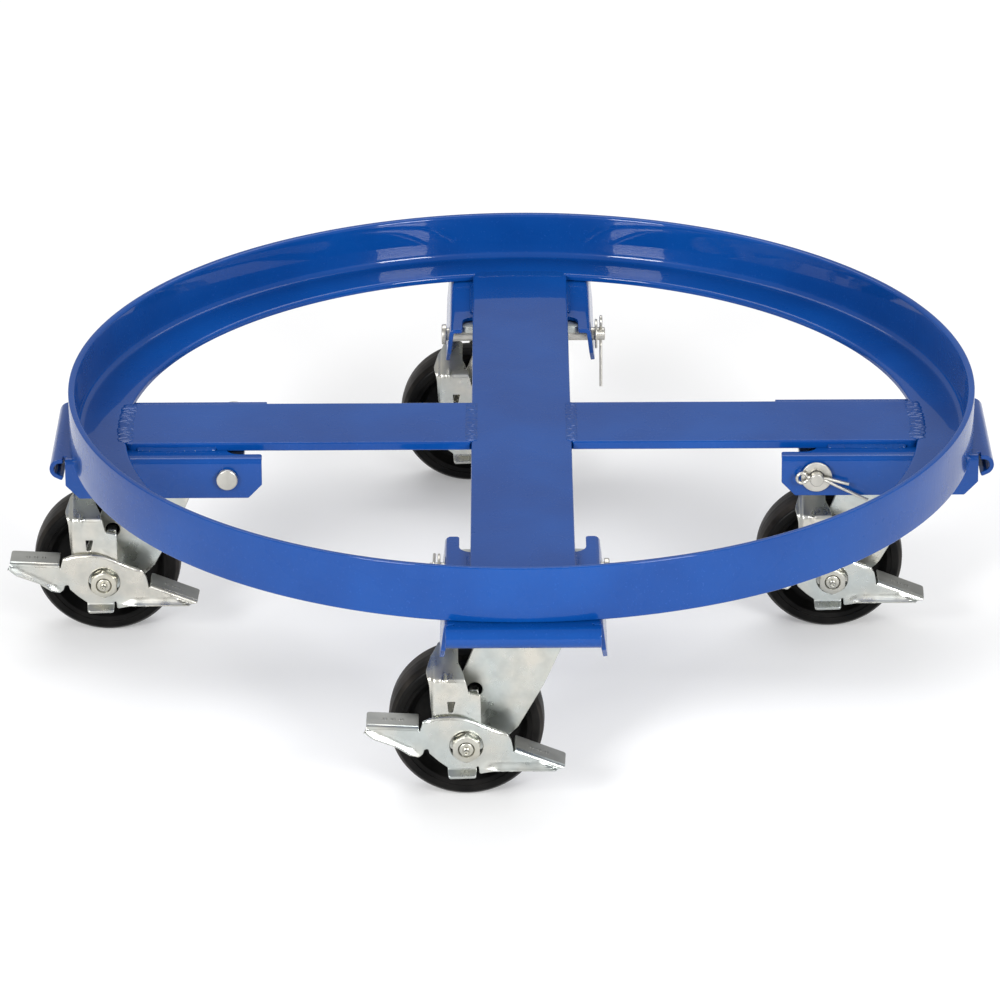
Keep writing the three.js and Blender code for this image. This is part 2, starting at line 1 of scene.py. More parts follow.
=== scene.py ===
# %% [markdown]
# # A drum dolly
#
# A drum dolly is a low steel ring on four casters. A drum stands on the flat cross inside
# the ring, and a person rolls it about. This lesson starts from a measured model whose
# pieces have the right size and the right joints, and makes every piece look like what it
# is: rolled angle steel under glossy enamel, pressed parts plated with zinc, turned pins,
# bent wire and moulded wheels.

# %% Load the measured model
import math

import bmesh
import bpy
from mathutils import Matrix, Vector, noise
from mathutils.geometry import tessellate_polygon


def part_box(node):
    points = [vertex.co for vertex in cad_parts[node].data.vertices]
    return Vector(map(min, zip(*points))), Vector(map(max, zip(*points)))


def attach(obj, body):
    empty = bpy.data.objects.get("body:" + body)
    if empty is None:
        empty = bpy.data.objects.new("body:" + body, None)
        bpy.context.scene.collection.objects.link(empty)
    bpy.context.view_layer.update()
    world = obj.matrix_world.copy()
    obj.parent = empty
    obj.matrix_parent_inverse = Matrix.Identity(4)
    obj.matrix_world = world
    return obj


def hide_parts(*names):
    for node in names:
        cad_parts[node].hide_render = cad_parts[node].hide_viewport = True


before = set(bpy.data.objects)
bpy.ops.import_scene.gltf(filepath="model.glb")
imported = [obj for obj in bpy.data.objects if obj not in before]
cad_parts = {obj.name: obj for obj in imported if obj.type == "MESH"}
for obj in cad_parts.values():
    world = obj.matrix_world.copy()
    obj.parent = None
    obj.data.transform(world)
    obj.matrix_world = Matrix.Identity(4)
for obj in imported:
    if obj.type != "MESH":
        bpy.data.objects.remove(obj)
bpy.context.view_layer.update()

# %% [markdown]
# ## Sizes
#
# Every size is in millimetres, as a maker would write it, and turns into metres only when
# a mesh is made. What can be measured on the model is measured there, so a piece can't
# drift away from its place.

# %% Sizes read from the model and stock sizes
MM = 0.001


def span(node):
    low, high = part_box(node)
    return low / MM, high / MM


ring_low, ring_high = span("ring")
RING_RADIUS = ring_high.x
RING_TOP = ring_high.z
STEEL = -ring_low.z
ANGLE_LEG = ring_high.z - ring_low.z
FLANGE_RADIUS = RING_RADIUS - ANGLE_LEG
ARM_WIDTH = span("long_arm")[1].x * 2
SHEET = 3.0
bracket_low, bracket_high = span("right_bracket")
BRACKET_INNER = bracket_low.x
BRACKET_TOP = bracket_high.z
BRACKET_DEPTH = bracket_high.z - bracket_low.z
plate_low, plate_high = span("right_caster_plate")
PLATE_TOP = plate_high.z
CASTER_RADIUS = (plate_low.x + plate_high.x) / 2
wheel_low, wheel_high = span("right_wheel")
WHEEL_RADIUS = (wheel_high.z - wheel_low.z) / 2
AXLE_HEIGHT = (wheel_high.z + wheel_low.z) / 2
LEAD = CASTER_RADIUS - (wheel_high.x + wheel_low.x) / 2
pin_low, pin_high = span("right_clevis_pin")
PIN_OUT = (pin_low.x + pin_high.x) / 2
PIN_HEIGHT = (pin_low.z + pin_high.z) / 2
FLOOR = wheel_low.z
print("ring radius", round(RING_RADIUS, 1), "steel", round(STEEL, 2), "lead", round(LEAD, 1))
print("axle height", round(AXLE_HEIGHT, 1), "pin height", round(PIN_HEIGHT, 1))

# %% [markdown]
# ## Writing a finish as arithmetic
#
# A finish is a small network of nodes. Wiring it by hand hides what it means, so one class
# wraps a socket and lets Python's own signs add the Math nodes: `1 - mask * 0.5` adds two
# nodes in one readable line. Every other node comes from the `node` method, which sets the
# node's own choices first and its sockets after.

# %% A socket that Python can calculate with
class Wire:
    def __init__(self, tree, socket=None):
        self.tree = tree
        self.socket = socket

    def node(self, kind, settings=None, values=None, out=0):
        made = self.tree.nodes.new(kind)
        for name, value in (settings or {}).items():
            if name == "stops":
                ramp = made.color_ramp
                while len(ramp.elements) < len(value):
                    ramp.elements.new(0.5)
                for element, (place, shade) in zip(ramp.elements, value):
                    element.position = place
                    element.color = (*shade, 1) if isinstance(shade, tuple) else (shade,) * 3 + (1,)
            else:
                setattr(made, name, value)
        for name, value in (values or {}).items():
            if isinstance(value, Wire):
                self.tree.links.new(value.socket, made.inputs[name])
            else:
                made.inputs[name].default_value = value
        return Wire(self.tree, made.outputs[out])

    def math(self, operation, first, second):
        return self.node("ShaderNodeMath", {"operation": operation}, {0: first, 1: second})

    def __add__(self, other):
        return self.math("ADD", self, other)

    def __radd__(self, other):
        return self.math("ADD", other, self)

    def __sub__(self, other):
        return self.math("SUBTRACT", self, other)

    def __rsub__(self, other):
        return self.math("SUBTRACT", other, self)

    def __mul__(self, other):
        return self.math("MULTIPLY", self, other)

    def __rmul__(self, other):
        return self.math("MULTIPLY", other, self)

    def blend(self, first, second):
        """Mixes two colours, with this socket as the share of the second."""
        return self.node(
            "ShaderNodeMix",
            {"data_type": "RGBA"},
            {0: self, 6: first, 7: second},
            out=2,
        )


# %% [markdown]
# A finish always starts the same way: a Principled shader, its constant numbers, and the
# object's own coordinates, which stay with the piece when it moves. Noise at a stated
# grain size gives wear and unevenness. The size is in millimetres, because a maker thinks
# of orange peel as "about two millimetres".

# %% A finish and its noise
def start_finish(name, **constants):
    material = bpy.data.materials.new(f"{name}_finish")
    material.use_nodes = True
    tree = material.node_tree
    shader = tree.nodes["Principled BSDF"]
    for socket, value in constants.items():
        shader.inputs[socket.replace("_", " ")].default_value = value
    return material, shader, Wire(tree)


def grain(wire, size, detail=3.0, stretch=(1, 1, 1)):
    place = wire.node("ShaderNodeTexCoord", out=3)
    place = wire.node("ShaderNodeMapping", None, {"Vector": place, "Scale": stretch})
    values = {"Vector": place, "Scale": 1 / (size * MM), "Detail": detail}
    return wire.node("ShaderNodeTexNoise", None, values)


def ramp(value, low, high):
    return value.node("ShaderNodeValToRGB", {"stops": [(low, 0.0), (high, 1.0)]}, {"Fac": value})


BUMP_STRENGTH = 0.5


def finish(shader, wire, colour, roughness=None, height=None, depth=0.1):
    for socket, source in (("Base Color", colour), ("Roughness", roughness)):
        if source is not None:
            wire.tree.links.new(source.socket, shader.inputs[socket])
    if height is not None:
        values = {"Height": height, "Distance": depth * MM, "Strength": BUMP_STRENGTH}
        bump = wire.node("ShaderNodeBump", None, values)
        wire.tree.links.new(bump.socket, shader.inputs["Normal"])


# %% [markdown]
# ## Blue enamel
#
# The frame is dipped or sprayed with thick glossy enamel. Close up it is never even: it
# has orange peel a couple of millimetres across, slow waves from the rolled steel below,
# a few specks of dust, and a colour that shifts a little with the thickness of the coat.

# %% Blue enamel
def enamel_finish(name, deep, light):
    material, shader, wire = start_finish(
        name, Coat_Weight=0.55, Coat_Roughness=0.025, Coat_IOR=1.5, Specular_IOR_Level=0.06
    )
    cloud = ramp(grain(wire, 90), 0.35, 0.68)
    colour = cloud.blend(deep, light)
    peel = grain(wire, 2.4, 1.5, (1, 1, 0.3))
    wave = grain(wire, 22, 1.0)
    specks = ramp(grain(wire, 1.5, 0.0), 0.74, 0.8)
    colour = (specks * 0.12).blend(colour, (*[min(1, 1.9 * c + 0.02) for c in light[:3]], 1))
    roughness = 0.2 + grain(wire, 40) * 0.16 + specks * 0.2
    height = peel * 0.4 + wave * 1.6 + specks * 0.5
    finish(shader, wire, colour, roughness, height, depth=0.32)
    return material


blue_enamel = enamel_finish("blue_enamel", (0.0010, 0.039, 0.198, 1), (0.0016, 0.052, 0.246, 1))
weld_enamel = enamel_finish(
    "blue_enamel_over_weld", (0.0010, 0.034, 0.175, 1), (0.0016, 0.048, 0.220, 1)
)
print("made", blue_enamel.name, "and", weld_enamel.name)

# %% [markdown]
# ## Zinc plating
#
# Bright zinc is a metal, so its colour is its reflection. The thin passivation layer on
# top drifts between cool blue and warm straw over a few centimetres, fine scratches cover
# the sheet, and handling leaves faint smudges that are a little darker and rougher.

# %% Zinc plating and its relatives
def plated_finish(name, cool, warm, low, spread, mark=0.05, stretch=(1, 1, 1)):
    material, shader, wire = start_finish(name, Metallic=1.0)
    drift = ramp(grain(wire, 30, 2.0), 0.36, 0.64)
    colour = drift.blend(cool, warm)
    smudge = ramp(grain(wire, 9, 4.0), 0.42, 0.72)
    dull = tuple(0.62 * c for c in cool[:3]) + (1,)
    colour = (smudge * 0.35).blend(colour, dull)
    roughness = low + grain(wire, 14, 3.0) * spread + smudge * 0.1
    scratches = grain(wire, 1.2, 3.0, stretch)
    height = grain(wire, 5.0, 2.0) + scratches * 0.35
    finish(shader, wire, colour, roughness, height, depth=mark)
    return material


zinc_plate = plated_finish("zinc_plate", (0.50, 0.535, 0.52, 1), (0.60, 0.58, 0.52, 1), 0.16, 0.22)
pin_steel = plated_finish(
    "pin_steel", (0.50, 0.49, 0.45, 1), (0.58, 0.56, 0.51, 1), 0.24, 0.2, 0.03, (1, 1, 6)
)
nut_steel = plated_finish("nut_steel", (0.48, 0.48, 0.44, 1), (0.56, 0.54, 0.46, 1), 0.22, 0.2)
dark_steel = plated_finish("dark_steel", (0.20, 0.20, 0.19, 1), (0.27, 0.25, 0.22, 1), 0.3, 0.2)
print("made four plated finishes")

# %% [markdown]
# The foot tabs have a dull, slightly sandy face, so that a shoe doesn't slip. It is the
# same plating without its shine.

# %% Dull face of the foot tabs
def sandy_finish():
    material, shader, wire = start_finish("sanded_zinc", Metallic=0.75)
    colour = ramp(grain(wire, 12, 3.0), 0.3, 0.7).blend((0.27, 0.275, 0.258, 1), (0.34, 0.34, 0.32, 1))
    roughness = 0.48 + grain(wire, 3) * 0.14
    finish(shader, wire, colour, roughness, grain(wire, 0.7, 2.0), depth=0.12)
    return material


sanded_zinc = sandy_finish()
print("made", sanded_zinc.name)

# %% [markdown]
# ## Moulded black
#
# The wheels are a hard black moulding. Their sides are smooth from the mould, and their
# treads are turned and then scuffed by dust, so they look browner and duller.

# %% Wheel finishes
def moulded_finish(name, base, dusty, low, dust):
    material, shader, wire = start_finish(name, Specular_IOR_Level=0.08)
    cloud = ramp(grain(wire, 16, 4.0), 0.4, 0.7)
    colour = (cloud * dust).blend(base, dusty)
    roughness = low + grain(wire, 7, 3.0) * 0.18 + cloud * 0.08
    height = grain(wire, 0.8, 2.0) + grain(wire, 5, 2.0) * 1.2
    finish(shader, wire, colour, roughness, height, depth=0.06)
    return material


wheel_black = moulded_finish("wheel_black", (0.004, 0.004, 0.004, 1), (0.014, 0.013, 0.012, 1), 0.24, 0.5)
tread_black = moulded_finish("tread_black", (0.009, 0.008, 0.007, 1), (0.036, 0.031, 0.027, 1), 0.34, 0.9)
print("made", wheel_black.name, "and", tread_black.name)

# %% [markdown]
# ## Ways to make a mesh
#
# Four ways of making cover the whole object, and they follow the workshop: turning a
# profile on a lathe, cutting and folding sheet, bending wire, and laying a weld bead.
# Each helper works in millimetres in its own simple axes, and a `place` function then
# carries its points to where the piece sits.

# %% Put a mesh in the scene
def add_piece(name, body, slot, mesh, materials, stands_for=()):
    for material in materials:
        mesh.materials.append(material)
    piece = bpy.data.objects.new(name, mesh)
    bpy.context.scene.collection.objects.link(piece)
    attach(piece, body)
    if stands_for:
        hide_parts(*stands_for)
    return piece


def mesh_from(name, points, faces, sharp=38):
    mesh = bpy.data.meshes.new(name)
    mesh.from_pydata([Vector(p) * MM for p in points], [], faces)
    form = bmesh.new()
    form.from_mesh(mesh)
    bmesh.ops.recalc_face_normals(form, faces=form.faces)
    for face in form.faces:
        face.smooth = True
    for edge in form.edges:
        if len(edge.link_faces) == 2 and math.degrees(edge.calc_face_angle(0)) > sharp:
            edge.smooth = False
    form.to_mesh(mesh)
    form.free()
    return mesh


def arc(x, y, radius, start, turn, steps):
    points = []
    for i in range(steps + 1):
        angle = math.radians(start + turn * i / steps)
        points.append((x + radius * math.cos(angle), y + radius * math.sin(angle)))
    return points


def skin(rows, count):
    """Faces round a tube of points, row after row, with both of its ends filled."""
    faces = []
    for i in range(rows - 1):
        for k in range(count):
            after = (k + 1) % count
            faces.append([i * count + k, i * count + after, (i + 1) * count + after, (i + 1) * count + k])
    faces.append(list(range(count))[::-1])
    faces.append([(rows - 1) * count + k for k in range(count)])
    return faces


# %% [markdown]
# A corner on real steel is never sharp: rolling, pressing and plating all round it, and
# the small round edge is what catches the light. `rounded` softens the corners of any
# outline by a radius per corner.

# %% Round the corners of an outline
def rounded(points, radius, steps=4, closed=True):
    result = []
    count = len(points)
    for i, point in enumerate(points):
        here = Vector(point[:2])
        limit = point[2] if len(point) > 2 else radius
        ends = not closed and i in (0, count - 1)
        if limit <= 0 or ends:
            result.append(tuple(here))
            continue
        before = Vector(points[i - 1][:2]) - here
        after = Vector(points[(i + 1) % count][:2]) - here
        angle = before.angle(after, math.pi)
        if angle > math.radians(176):
            result.append(tuple(here))
            continue
        reach = limit / math.tan(angle / 2)
        reach = min(reach, before.length * 0.49, after.length * 0.49)
        real = reach * math.tan(angle / 2)
        before.normalize()
        after.normalize()
        middle = here + (before + after).normalized() * (real / math.sin(angle / 2))
        first = here + before * reach - middle
        last = here + after * reach - middle
        sweep = first.angle_signed(last, 0)
        for k in range(steps + 1):
            turn = Matrix.Rotation(-sweep * k / steps, 2)
            result.append(tuple(middle + turn @ first))
    return result


# %% Turn a profile on a lathe
def turned(profile, place, steps=64, flats=None):
    """profile: (radius, height) points. flats: half the width across a hexagon's flats,
    for the points whose third value is true."""
    closed = profile[0][0] > 0 and profile[-1][0] > 0
    points = []
    faces = []
    for i in range(steps):
        angle = 2 * math.pi * i / steps
        for step in profile:
            radius, height = step[0], step[1]
            if flats and len(step) > 2 and step[2]:
                face = (angle + math.pi / 6) % (math.pi / 3) - math.pi / 6
                radius = min(radius, flats / math.cos(face))
            points.append(place(radius * math.cos(angle), radius * math.sin(angle), height))
    count = len(profile)
    for i in range(steps):
        after = (i + 1) % steps
        for k in range(count if closed else count - 1):
            up = (k + 1) % count
            corner = [i * count + k, after * count + k, after * count + up, i * count + up]
            if profile[k][0] == 0:
                corner = [corner[0], corner[2], corner[3]]
            elif profile[up][0] == 0:
                corner = [corner[0], corner[1], corner[3]]
            faces.append(corner)
    return points, faces


TOUCHING = 0.0005


def merge_close(mesh):
    form = bmesh.new()
    form.from_mesh(mesh)
    bmesh.ops.remove_doubles(form, verts=form.verts, dist=TOUCHING * MM)
    form.to_mesh(mesh)
    form.free()
    return mesh


# %% [markdown]
# Sheet parts are made flat first, as in the real press. The cut edge is rounded by a few
# inset copies of the outline, the blank is divided into strips where it will bend, and a
# folding rule then gives every point its place. The rule only knows the outer face: the
# depth of a point is laid along the folded face's own normal, so the sheet keeps its
# thickness round every bend.

# %% Cut a blank, fold it, give it thickness
def inset(loop, distance):
    result = []
    for i, here in enumerate(loop):
        before = (here - loop[i - 1]).normalized()
        after = (loop[(i + 1) % len(loop)] - here).normalized()
        side = (Vector((-before.y, before.x)) + Vector((-after.y, after.x))).normalized()
        lean = max(0.5, before.x * side.y - before.y * side.x)
        result.append(here + side * (distance / lean))
    return result


def wound(loop, left):
    points = [Vector(point[:2]) for point in loop]
    turn = sum(a.x * b.y - a.y * b.x for a, b in zip(points, points[1:] + points[:1]))
    return points if (turn > 0) == left else points[::-1]


EDGE_STEPS = 3


def blank(outline, holes, thickness, edge):
    loops = [wound(outline, True)] + [wound(hole, False) for hole in holes]
    turns = [math.pi / 2 * k / EDGE_STEPS for k in range(EDGE_STEPS + 1)]
    rings = [(edge * (1 - math.sin(turn)), edge * (math.cos(turn) - 1)) for turn in turns]
    rings += [(gap, -thickness - depth) for gap, depth in reversed(rings)]
    form = bmesh.new()
    caps = ([], [])
    for loop in loops:
        rows = [[form.verts.new((*point, depth)) for point in inset(loop, gap)] for gap, depth in rings]
        caps[0].append(rows[0])
        caps[1].append(rows[-1])
        for upper, lower in zip(rows, rows[1:]):
            for i in range(len(loop)):
                form.faces.new((upper[i - 1], lower[i - 1], lower[i], upper[i]))
    for cap, up in zip(caps, (1, -1)):
        corners = [vertex for row in cap for vertex in row]
        for triangle in tessellate_polygon([[vertex.co for vertex in row] for row in cap]):
            face = form.faces.new([corners[i] for i in triangle])
            face.normal_update()
            if face.normal.z * up < 0:
                face.normal_flip()
    return form


def pressed(name, outline, fold, place, thickness, holes=(), across=(), along=(), lines=(), edge=0.5):
    form = blank(outline, holes, thickness, edge)
    cuts = [((x, 0, 0), (1, 0, 0)) for x in across]
    cuts += [((0, y, 0), (0, 1, 0)) for y in along]
    for origin, normal in [*cuts, *lines]:
        everything = form.verts[:] + form.edges[:] + form.faces[:]
        bmesh.ops.bisect_plane(form, geom=everything, dist=1e-4, plane_co=origin, plane_no=normal)
    bmesh.ops.dissolve_degenerate(form, edges=form.edges, dist=0.004)
    for vertex in form.verts:
        x, y, depth = vertex.co
        face = Vector(place(*fold(x, y)))
        ahead = Vector(place(*fold(x + 0.01, y))) - Vector(place(*fold(x - 0.01, y)))
        aside = Vector(place(*fold(x, y + 0.01))) - Vector(place(*fold(x, y - 0.01)))
        vertex.co = (face + ahead.cross(aside).normalized() * depth) * MM
    for face in form.faces:
        face.smooth = True
    mesh = bpy.data.meshes.new(name)
    form.to_mesh(mesh)
    form.free()
    return mesh


def even_light(piece):
    """Flat faces keep their own direction, and the small round edges do the turning."""
    weighted = piece.modifiers.new("even_light", "WEIGHTED_NORMAL")
    weighted.weight = 60


# %% Sweep a section along a bent path
def smooth_path(points, per=8):
    points = [Vector(p) for p in points]
    ends = [2 * points[0] - points[1], *points, 2 * points[-1] - points[-2]]
    path = []
    for a, b, c, d in zip(ends, ends[1:], ends[2:], ends[3:]):
        for k in range(per):
            t = k / per
            square = 2 * a - 5 * b + 4 * c - d
            cube = 3 * b - a - 3 * c + d
            path.append(0.5 * (2 * b + (c - a) * t + square * t**2 + cube * t**3))
    return [*path, points[-1]]


def swept(path, section, place):
    side = None
    points = []
    for i, point in enumerate(path):
        ahead = path[min(i + 1, len(path) - 1)] - path[max(i - 1, 0)]
        ahead.normalize()
        if side is None:
            side = ahead.orthogonal().normalized()
        side = (side - ahead * side.dot(ahead)).normalized()
        up = ahead.cross(side)
        for a, b in section:
            points.append(place(*(point + side * a + up * b)))
    return points, skin(len(path), len(section))


# %% [markdown]
# A weld bead is a row of overlapping half-moon ripples, a few millimetres wide, never
# quite straight. The helper lays one along any path and lets the height follow the
# ripples. `noise` gives the hand's unsteadiness, and it is the same every run.

# %% Lay a weld bead
RIPPLE = 2.4


def weld_bead(name, path, width, height, up=(0, 0, 1)):
    path = [Vector(p) for p in path]
    lengths = [0.0]
    for a, b in zip(path, path[1:]):
        lengths.append(lengths[-1] + (b - a).length)
    total = lengths[-1]
    steps = max(12, int(total / (RIPPLE / 6)))
    cross = 10
    points = []
    for i in range(steps + 1):
        at = total * i / steps
        k = max(j for j in range(len(lengths)) if lengths[j] <= at + 1e-9)
        k = min(k, len(path) - 2)
        share = (at - lengths[k]) / (lengths[k + 1] - lengths[k])
        here = path[k].lerp(path[k + 1], share)
        ahead = (path[k + 1] - path[k]).normalized()
        rise = Vector(up).normalized()
        side = ahead.cross(rise).normalized()
        taper = min(1, 0.35 + 3 * min(at, total - at) / width)
        sway = 0.5 * noise.noise(here * 0.11)
        half = width / 2 * taper * (1 + 0.22 * noise.noise(here * 0.35 + Vector((9, 0, 0))))
        for j in range(cross + 1):
            q = 2 * j / cross - 1
            phase = (at + 1.6 * (1 - q * q)) / RIPPLE
            rough = noise.noise(here * 0.5 + Vector((0, q, 0)))
            ridge = 0.82 + 0.18 * abs(math.cos(math.pi * phase)) + 0.3 * rough
            lift = height * taper * math.sqrt(max(0, 1 - q * q)) * ridge
            points.append(here + side * (q * half + sway) + rise * (lift - 0.25))
        points.append(here + side * (half * 0.6 + sway) - rise * 0.9)
        points.append(here - side * (half * 0.6 - sway) - rise * 0.9)
    mesh = mesh_from(name, points, skin(steps + 1, cross + 3), sharp=70)
    add_piece(name, "frame", "blue_enamel", mesh, [weld_enamel])


print("four ways of making are ready")

# %% [markdown]
# ## The ring
#
# The ring is one length of equal-leg angle, rolled with a leg upright on the outside. Its
# joint isn't modelled. The rolling leaves it very slightly out of round, which shows as slow
# waves in the reflections. The profile is drawn once, with the mill's round toes and the
# fillet in the root, and spun.

# %% Ring
def ring_profile():
    wall = RING_RADIUS - STEEL
    corners = [
        (FLANGE_RADIUS, -STEEL, 0.8), (RING_RADIUS, -STEEL, 1.1), (RING_RADIUS, RING_TOP, 0.9),
        (wall, RING_TOP, 2.2),
        (wall, 0, 5.0),
        (FLANGE_RADIUS, 0, 2.2),
    ]
    outline = rounded(corners, 1.0, 6)
    tall = []
    for a, b in zip(outline, outline[1:] + outline[:1]):
        tall.append(a)
        if math.dist(a, b) > 12:
            tall += [(a[0] + (b[0] - a[0]) * k / 4, a[1] + (b[1] - a[1]) * k / 4) for k in (1, 2, 3)]
    return tall


def rolled(x, y, z):
    point = Vector((x, y, 0))
    outward = point.normalized()
    drift = 0.35 * noise.noise(outward * 2.1 + Vector((0, 0, z * 0.01)))
    return point + outward * (drift - 0.3) + Vector((0, 0, z))


points, faces = turned(ring_profile(), rolled, 360)
ring_mesh = mesh_from("ring_rolled", points, faces)
add_piece("ring_rolled", "frame", "blue_enamel", ring_mesh, [blue_enamel], ["ring"])
print("ring points", len(points))

# %% [markdown]
# The four corners are alike but for their heading. A `place` function turns a corner's own
# axes, outward and across, into the dolly's.

# %% Corners
CORNERS = {"right": 0, "rear": 90, "left": 180, "front": 270}


def corner_place(heading):
    turn = Matrix.Rotation(math.radians(heading), 3, "Z")
    return lambda x, y, z: turn @ Vector((x, y, z))


# %% [markdown]
# ## The cross
#
# One flat bar runs right across and two shorter ones butt against its sides, so the top is
# level and a drum stands flat. Hot-rolled flat bar has slightly round edges.

# %% Flat bars
BAR_WIDTH = ARM_WIDTH - 1.6
BAR_THICKNESS = 6.2


def bar_end(sign):
    radius = FLANGE_RADIUS - 0.3
    half = math.degrees(math.asin(BAR_WIDTH / 2 / radius))
    return arc(0, 0, radius, sign * 90 - half, 2 * half, 10)


def settle(x, y):
    return (x, y, 0.12 * noise.noise(Vector((x, y, 0)) * 0.02) - 0.12)


def bar(name, outline, heading, stands_for):
    place = corner_place(heading)
    along = [12 * k for k in range(-22, 23)]
    mesh = pressed(name, outline, settle, place, BAR_THICKNESS, (), [-20, 0, 20], along, edge=1.2)
    even_light(add_piece(name, "frame", "blue_enamel", mesh, [blue_enamel], [stands_for]))


inner = BAR_WIDTH / 2 + 0.3
short = bar_end(1) + [(-BAR_WIDTH / 2, inner), (BAR_WIDTH / 2, inner)]
bar("long_bar", bar_end(1) + bar_end(-1), 0, "long_arm")
bar("left_bar", short, 90, "left_arm")
bar("right_bar", short, -90, "right_arm")
print("flat bars", round(BAR_WIDTH, 1), "mm wide")

# %% [markdown]
# ## Brackets
#
# Each bracket is one sheet: the web lies against the bar, the two sides are folded down
# and lean out a little, the inner end is notched between two horns, and the outer end is
# rolled under to hook the caster plate. The blank's first axis runs outward from the
# middle of the dolly and the second runs across.

# %% Bracket
BRACKET_HALF = 50.8
BEND_RADIUS = 3.9
SPLAY = math.radians(7)
FLANGE_END = 310.0
CURL_START = 313.5
CURL_RADIUS = 7.2
CURL_TURN = math.radians(155)
CURL_HALF = 49.6
NECK_HALF = 44.0
BEND_AT = BRACKET_HALF - BEND_RADIUS
BEND_TURN = math.pi / 2 - SPLAY
SIDE_START = BEND_AT + BEND_RADIUS * BEND_TURN
SIDE_END = SIDE_START + (BRACKET_DEPTH + 2.2) / math.cos(SPLAY) - BEND_RADIUS
CURL_END = CURL_START + CURL_RADIUS * CURL_TURN + 4.5


def bracket_sheet(name, place):
    half = [
        (201, 0, 0), (201, 41.5, 9), (BRACKET_INNER, 41.5, 2), (BRACKET_INNER, SIDE_END - 9.3, 1.5),
        (BRACKET_INNER + 9.3, SIDE_END, 1.5), (FLANGE_END - 9.3, SIDE_END, 1.5),
        (FLANGE_END, SIDE_END - 9.3, 1.5), (FLANGE_END, NECK_HALF + 1.2, 0.6),
        (308.5, NECK_HALF, 0.5), (311.5, NECK_HALF, 0.5), (311.5, CURL_HALF, 0.8),
        (CURL_END, CURL_HALF, 1.5), (CURL_END, 0, 0),
    ]
    full = half + [(x, -y, r) for x, y, r in reversed(half[1:-1])]
    bends = [BEND_AT + BEND_RADIUS * BEND_TURN * k / 8 for k in range(9)]
    sides = bends + [SIDE_START + (SIDE_END - SIDE_START) / 2]
    rolls = [CURL_START + CURL_RADIUS * CURL_TURN * k / 14 for k in range(15)]
    across = rolls + [190, 215, 230, 245, 260, 275, 290, 300]
    along = sides + [-s for s in sides] + [0, 15, -15, 30, -30]
    return pressed(name, rounded(full, 1, 5), fold_bracket, place, SHEET, (), across, along)


def fold_bracket(x, y):
    sign = -1 if y < 0 else 1
    reach = abs(y) - BEND_AT
    if x > CURL_START - 0.01:
        turn = min((x - CURL_START) / CURL_RADIUS, CURL_TURN)
        rest = max(0, x - CURL_START - CURL_RADIUS * CURL_TURN)
        out = CURL_START + CURL_RADIUS * math.sin(turn) + rest * math.cos(turn)
        up = BRACKET_TOP - CURL_RADIUS * (1 - math.cos(turn)) - rest * math.sin(turn)
        return (out, y, up)
    if x > 310.5 or reach <= 0:
        return (x, y, BRACKET_TOP)
    turn = min(reach / BEND_RADIUS, BEND_TURN)
    rest = max(0, reach - BEND_RADIUS * BEND_TURN)
    out = BEND_AT + BEND_RADIUS * math.sin(turn) + rest * math.cos(turn)
    up = BRACKET_TOP - BEND_RADIUS * (1 - math.cos(turn)) - rest * math.sin(turn)
    return (x, sign * out, up)


# %% Bracket pieces
for corner, heading in CORNERS.items():
    name = f"{corner}_bracket_sheet"
    mesh = bracket_sheet(name, corner_place(heading))
    even_light(add_piece(name, "frame", "blue_enamel", mesh, [blue_enamel], [f"{corner}_bracket"]))
print("brackets", len(CORNERS), "with sides folded", round(math.degrees(BEND_TURN)), "degrees")

# %% [markdown]
# ## Welds
#
# The bars are welded to each other on both faces and to the ring's flange, and each
# bracket is welded along its bar. None of them is ground, so they stand a little proud
# under the enamel.

# %% Weld beads
BAR_BEAD = (8.5, 0.9)
BRACKET_BEAD = (4.4, 1.0)
RING_BEAD_WIDTH = 11.5
RING_BEAD_HEIGHT = {"right": 1.2, "rear": 0.5, "left": 1.2, "front": 0.5}

half = BAR_WIDTH / 2
for side in (-1, 1):
    for face, up in ((0, 1), (-BAR_THICKNESS, -1)):
        name = f"weld_bar_{'left' if side < 0 else 'right'}_{'top' if up > 0 else 'under'}"
        x = side * (half + 0.15)
        weld_bead(name, [(x, -half + 1, face), (x, half - 1, face)], *BAR_BEAD, (0, 0, up))
for corner, heading in CORNERS.items():
    at = corner_place(heading)
    spread = math.degrees(math.asin(half / FLANGE_RADIUS)) - 0.3
    bend = [at(x, y, 0) for x, y in arc(0, 0, FLANGE_RADIUS, -spread, 2 * spread, 16)]
    weld_bead(f"{corner}_weld_ring", bend, RING_BEAD_WIDTH, RING_BEAD_HEIGHT[corner])
    for side in (-1, 1):
        path = [at(x, side * (half + 0.9), BRACKET_TOP + 0.9) for x in (208, 262)]
        up = at(0, side * 0.8, 1)
        weld_bead(f"{corner}_weld_bracket_{'a' if side < 0 else 'b'}", path, *BRACKET_BEAD, up)
print("weld beads laid")

# %% [markdown]
# ## Caster plates and swivel bearings
#
# A plate of plain steel hooks into the rolled end of the bracket. Under it sits the swivel
# bearing: two pressed races with balls between them, held together by a rivet, the
# kingpin. They are mostly out of sight, and only their rims catch some light.

# %% Plates, races and kingpins
PLATE_LENGTH = plate_high.x - plate_low.x
PLATE_WIDTH = plate_high.y - plate_low.y
RACE_TOP = span("right_ball_race")[1].z
RACE_BOTTOM = span("right_ball_race")[0].z
FORK_TOP = span("right_fork")[1].z
KINGPIN_BOTTOM = span("right_kingpin")[0].z
FORK_SHEET = 3.6


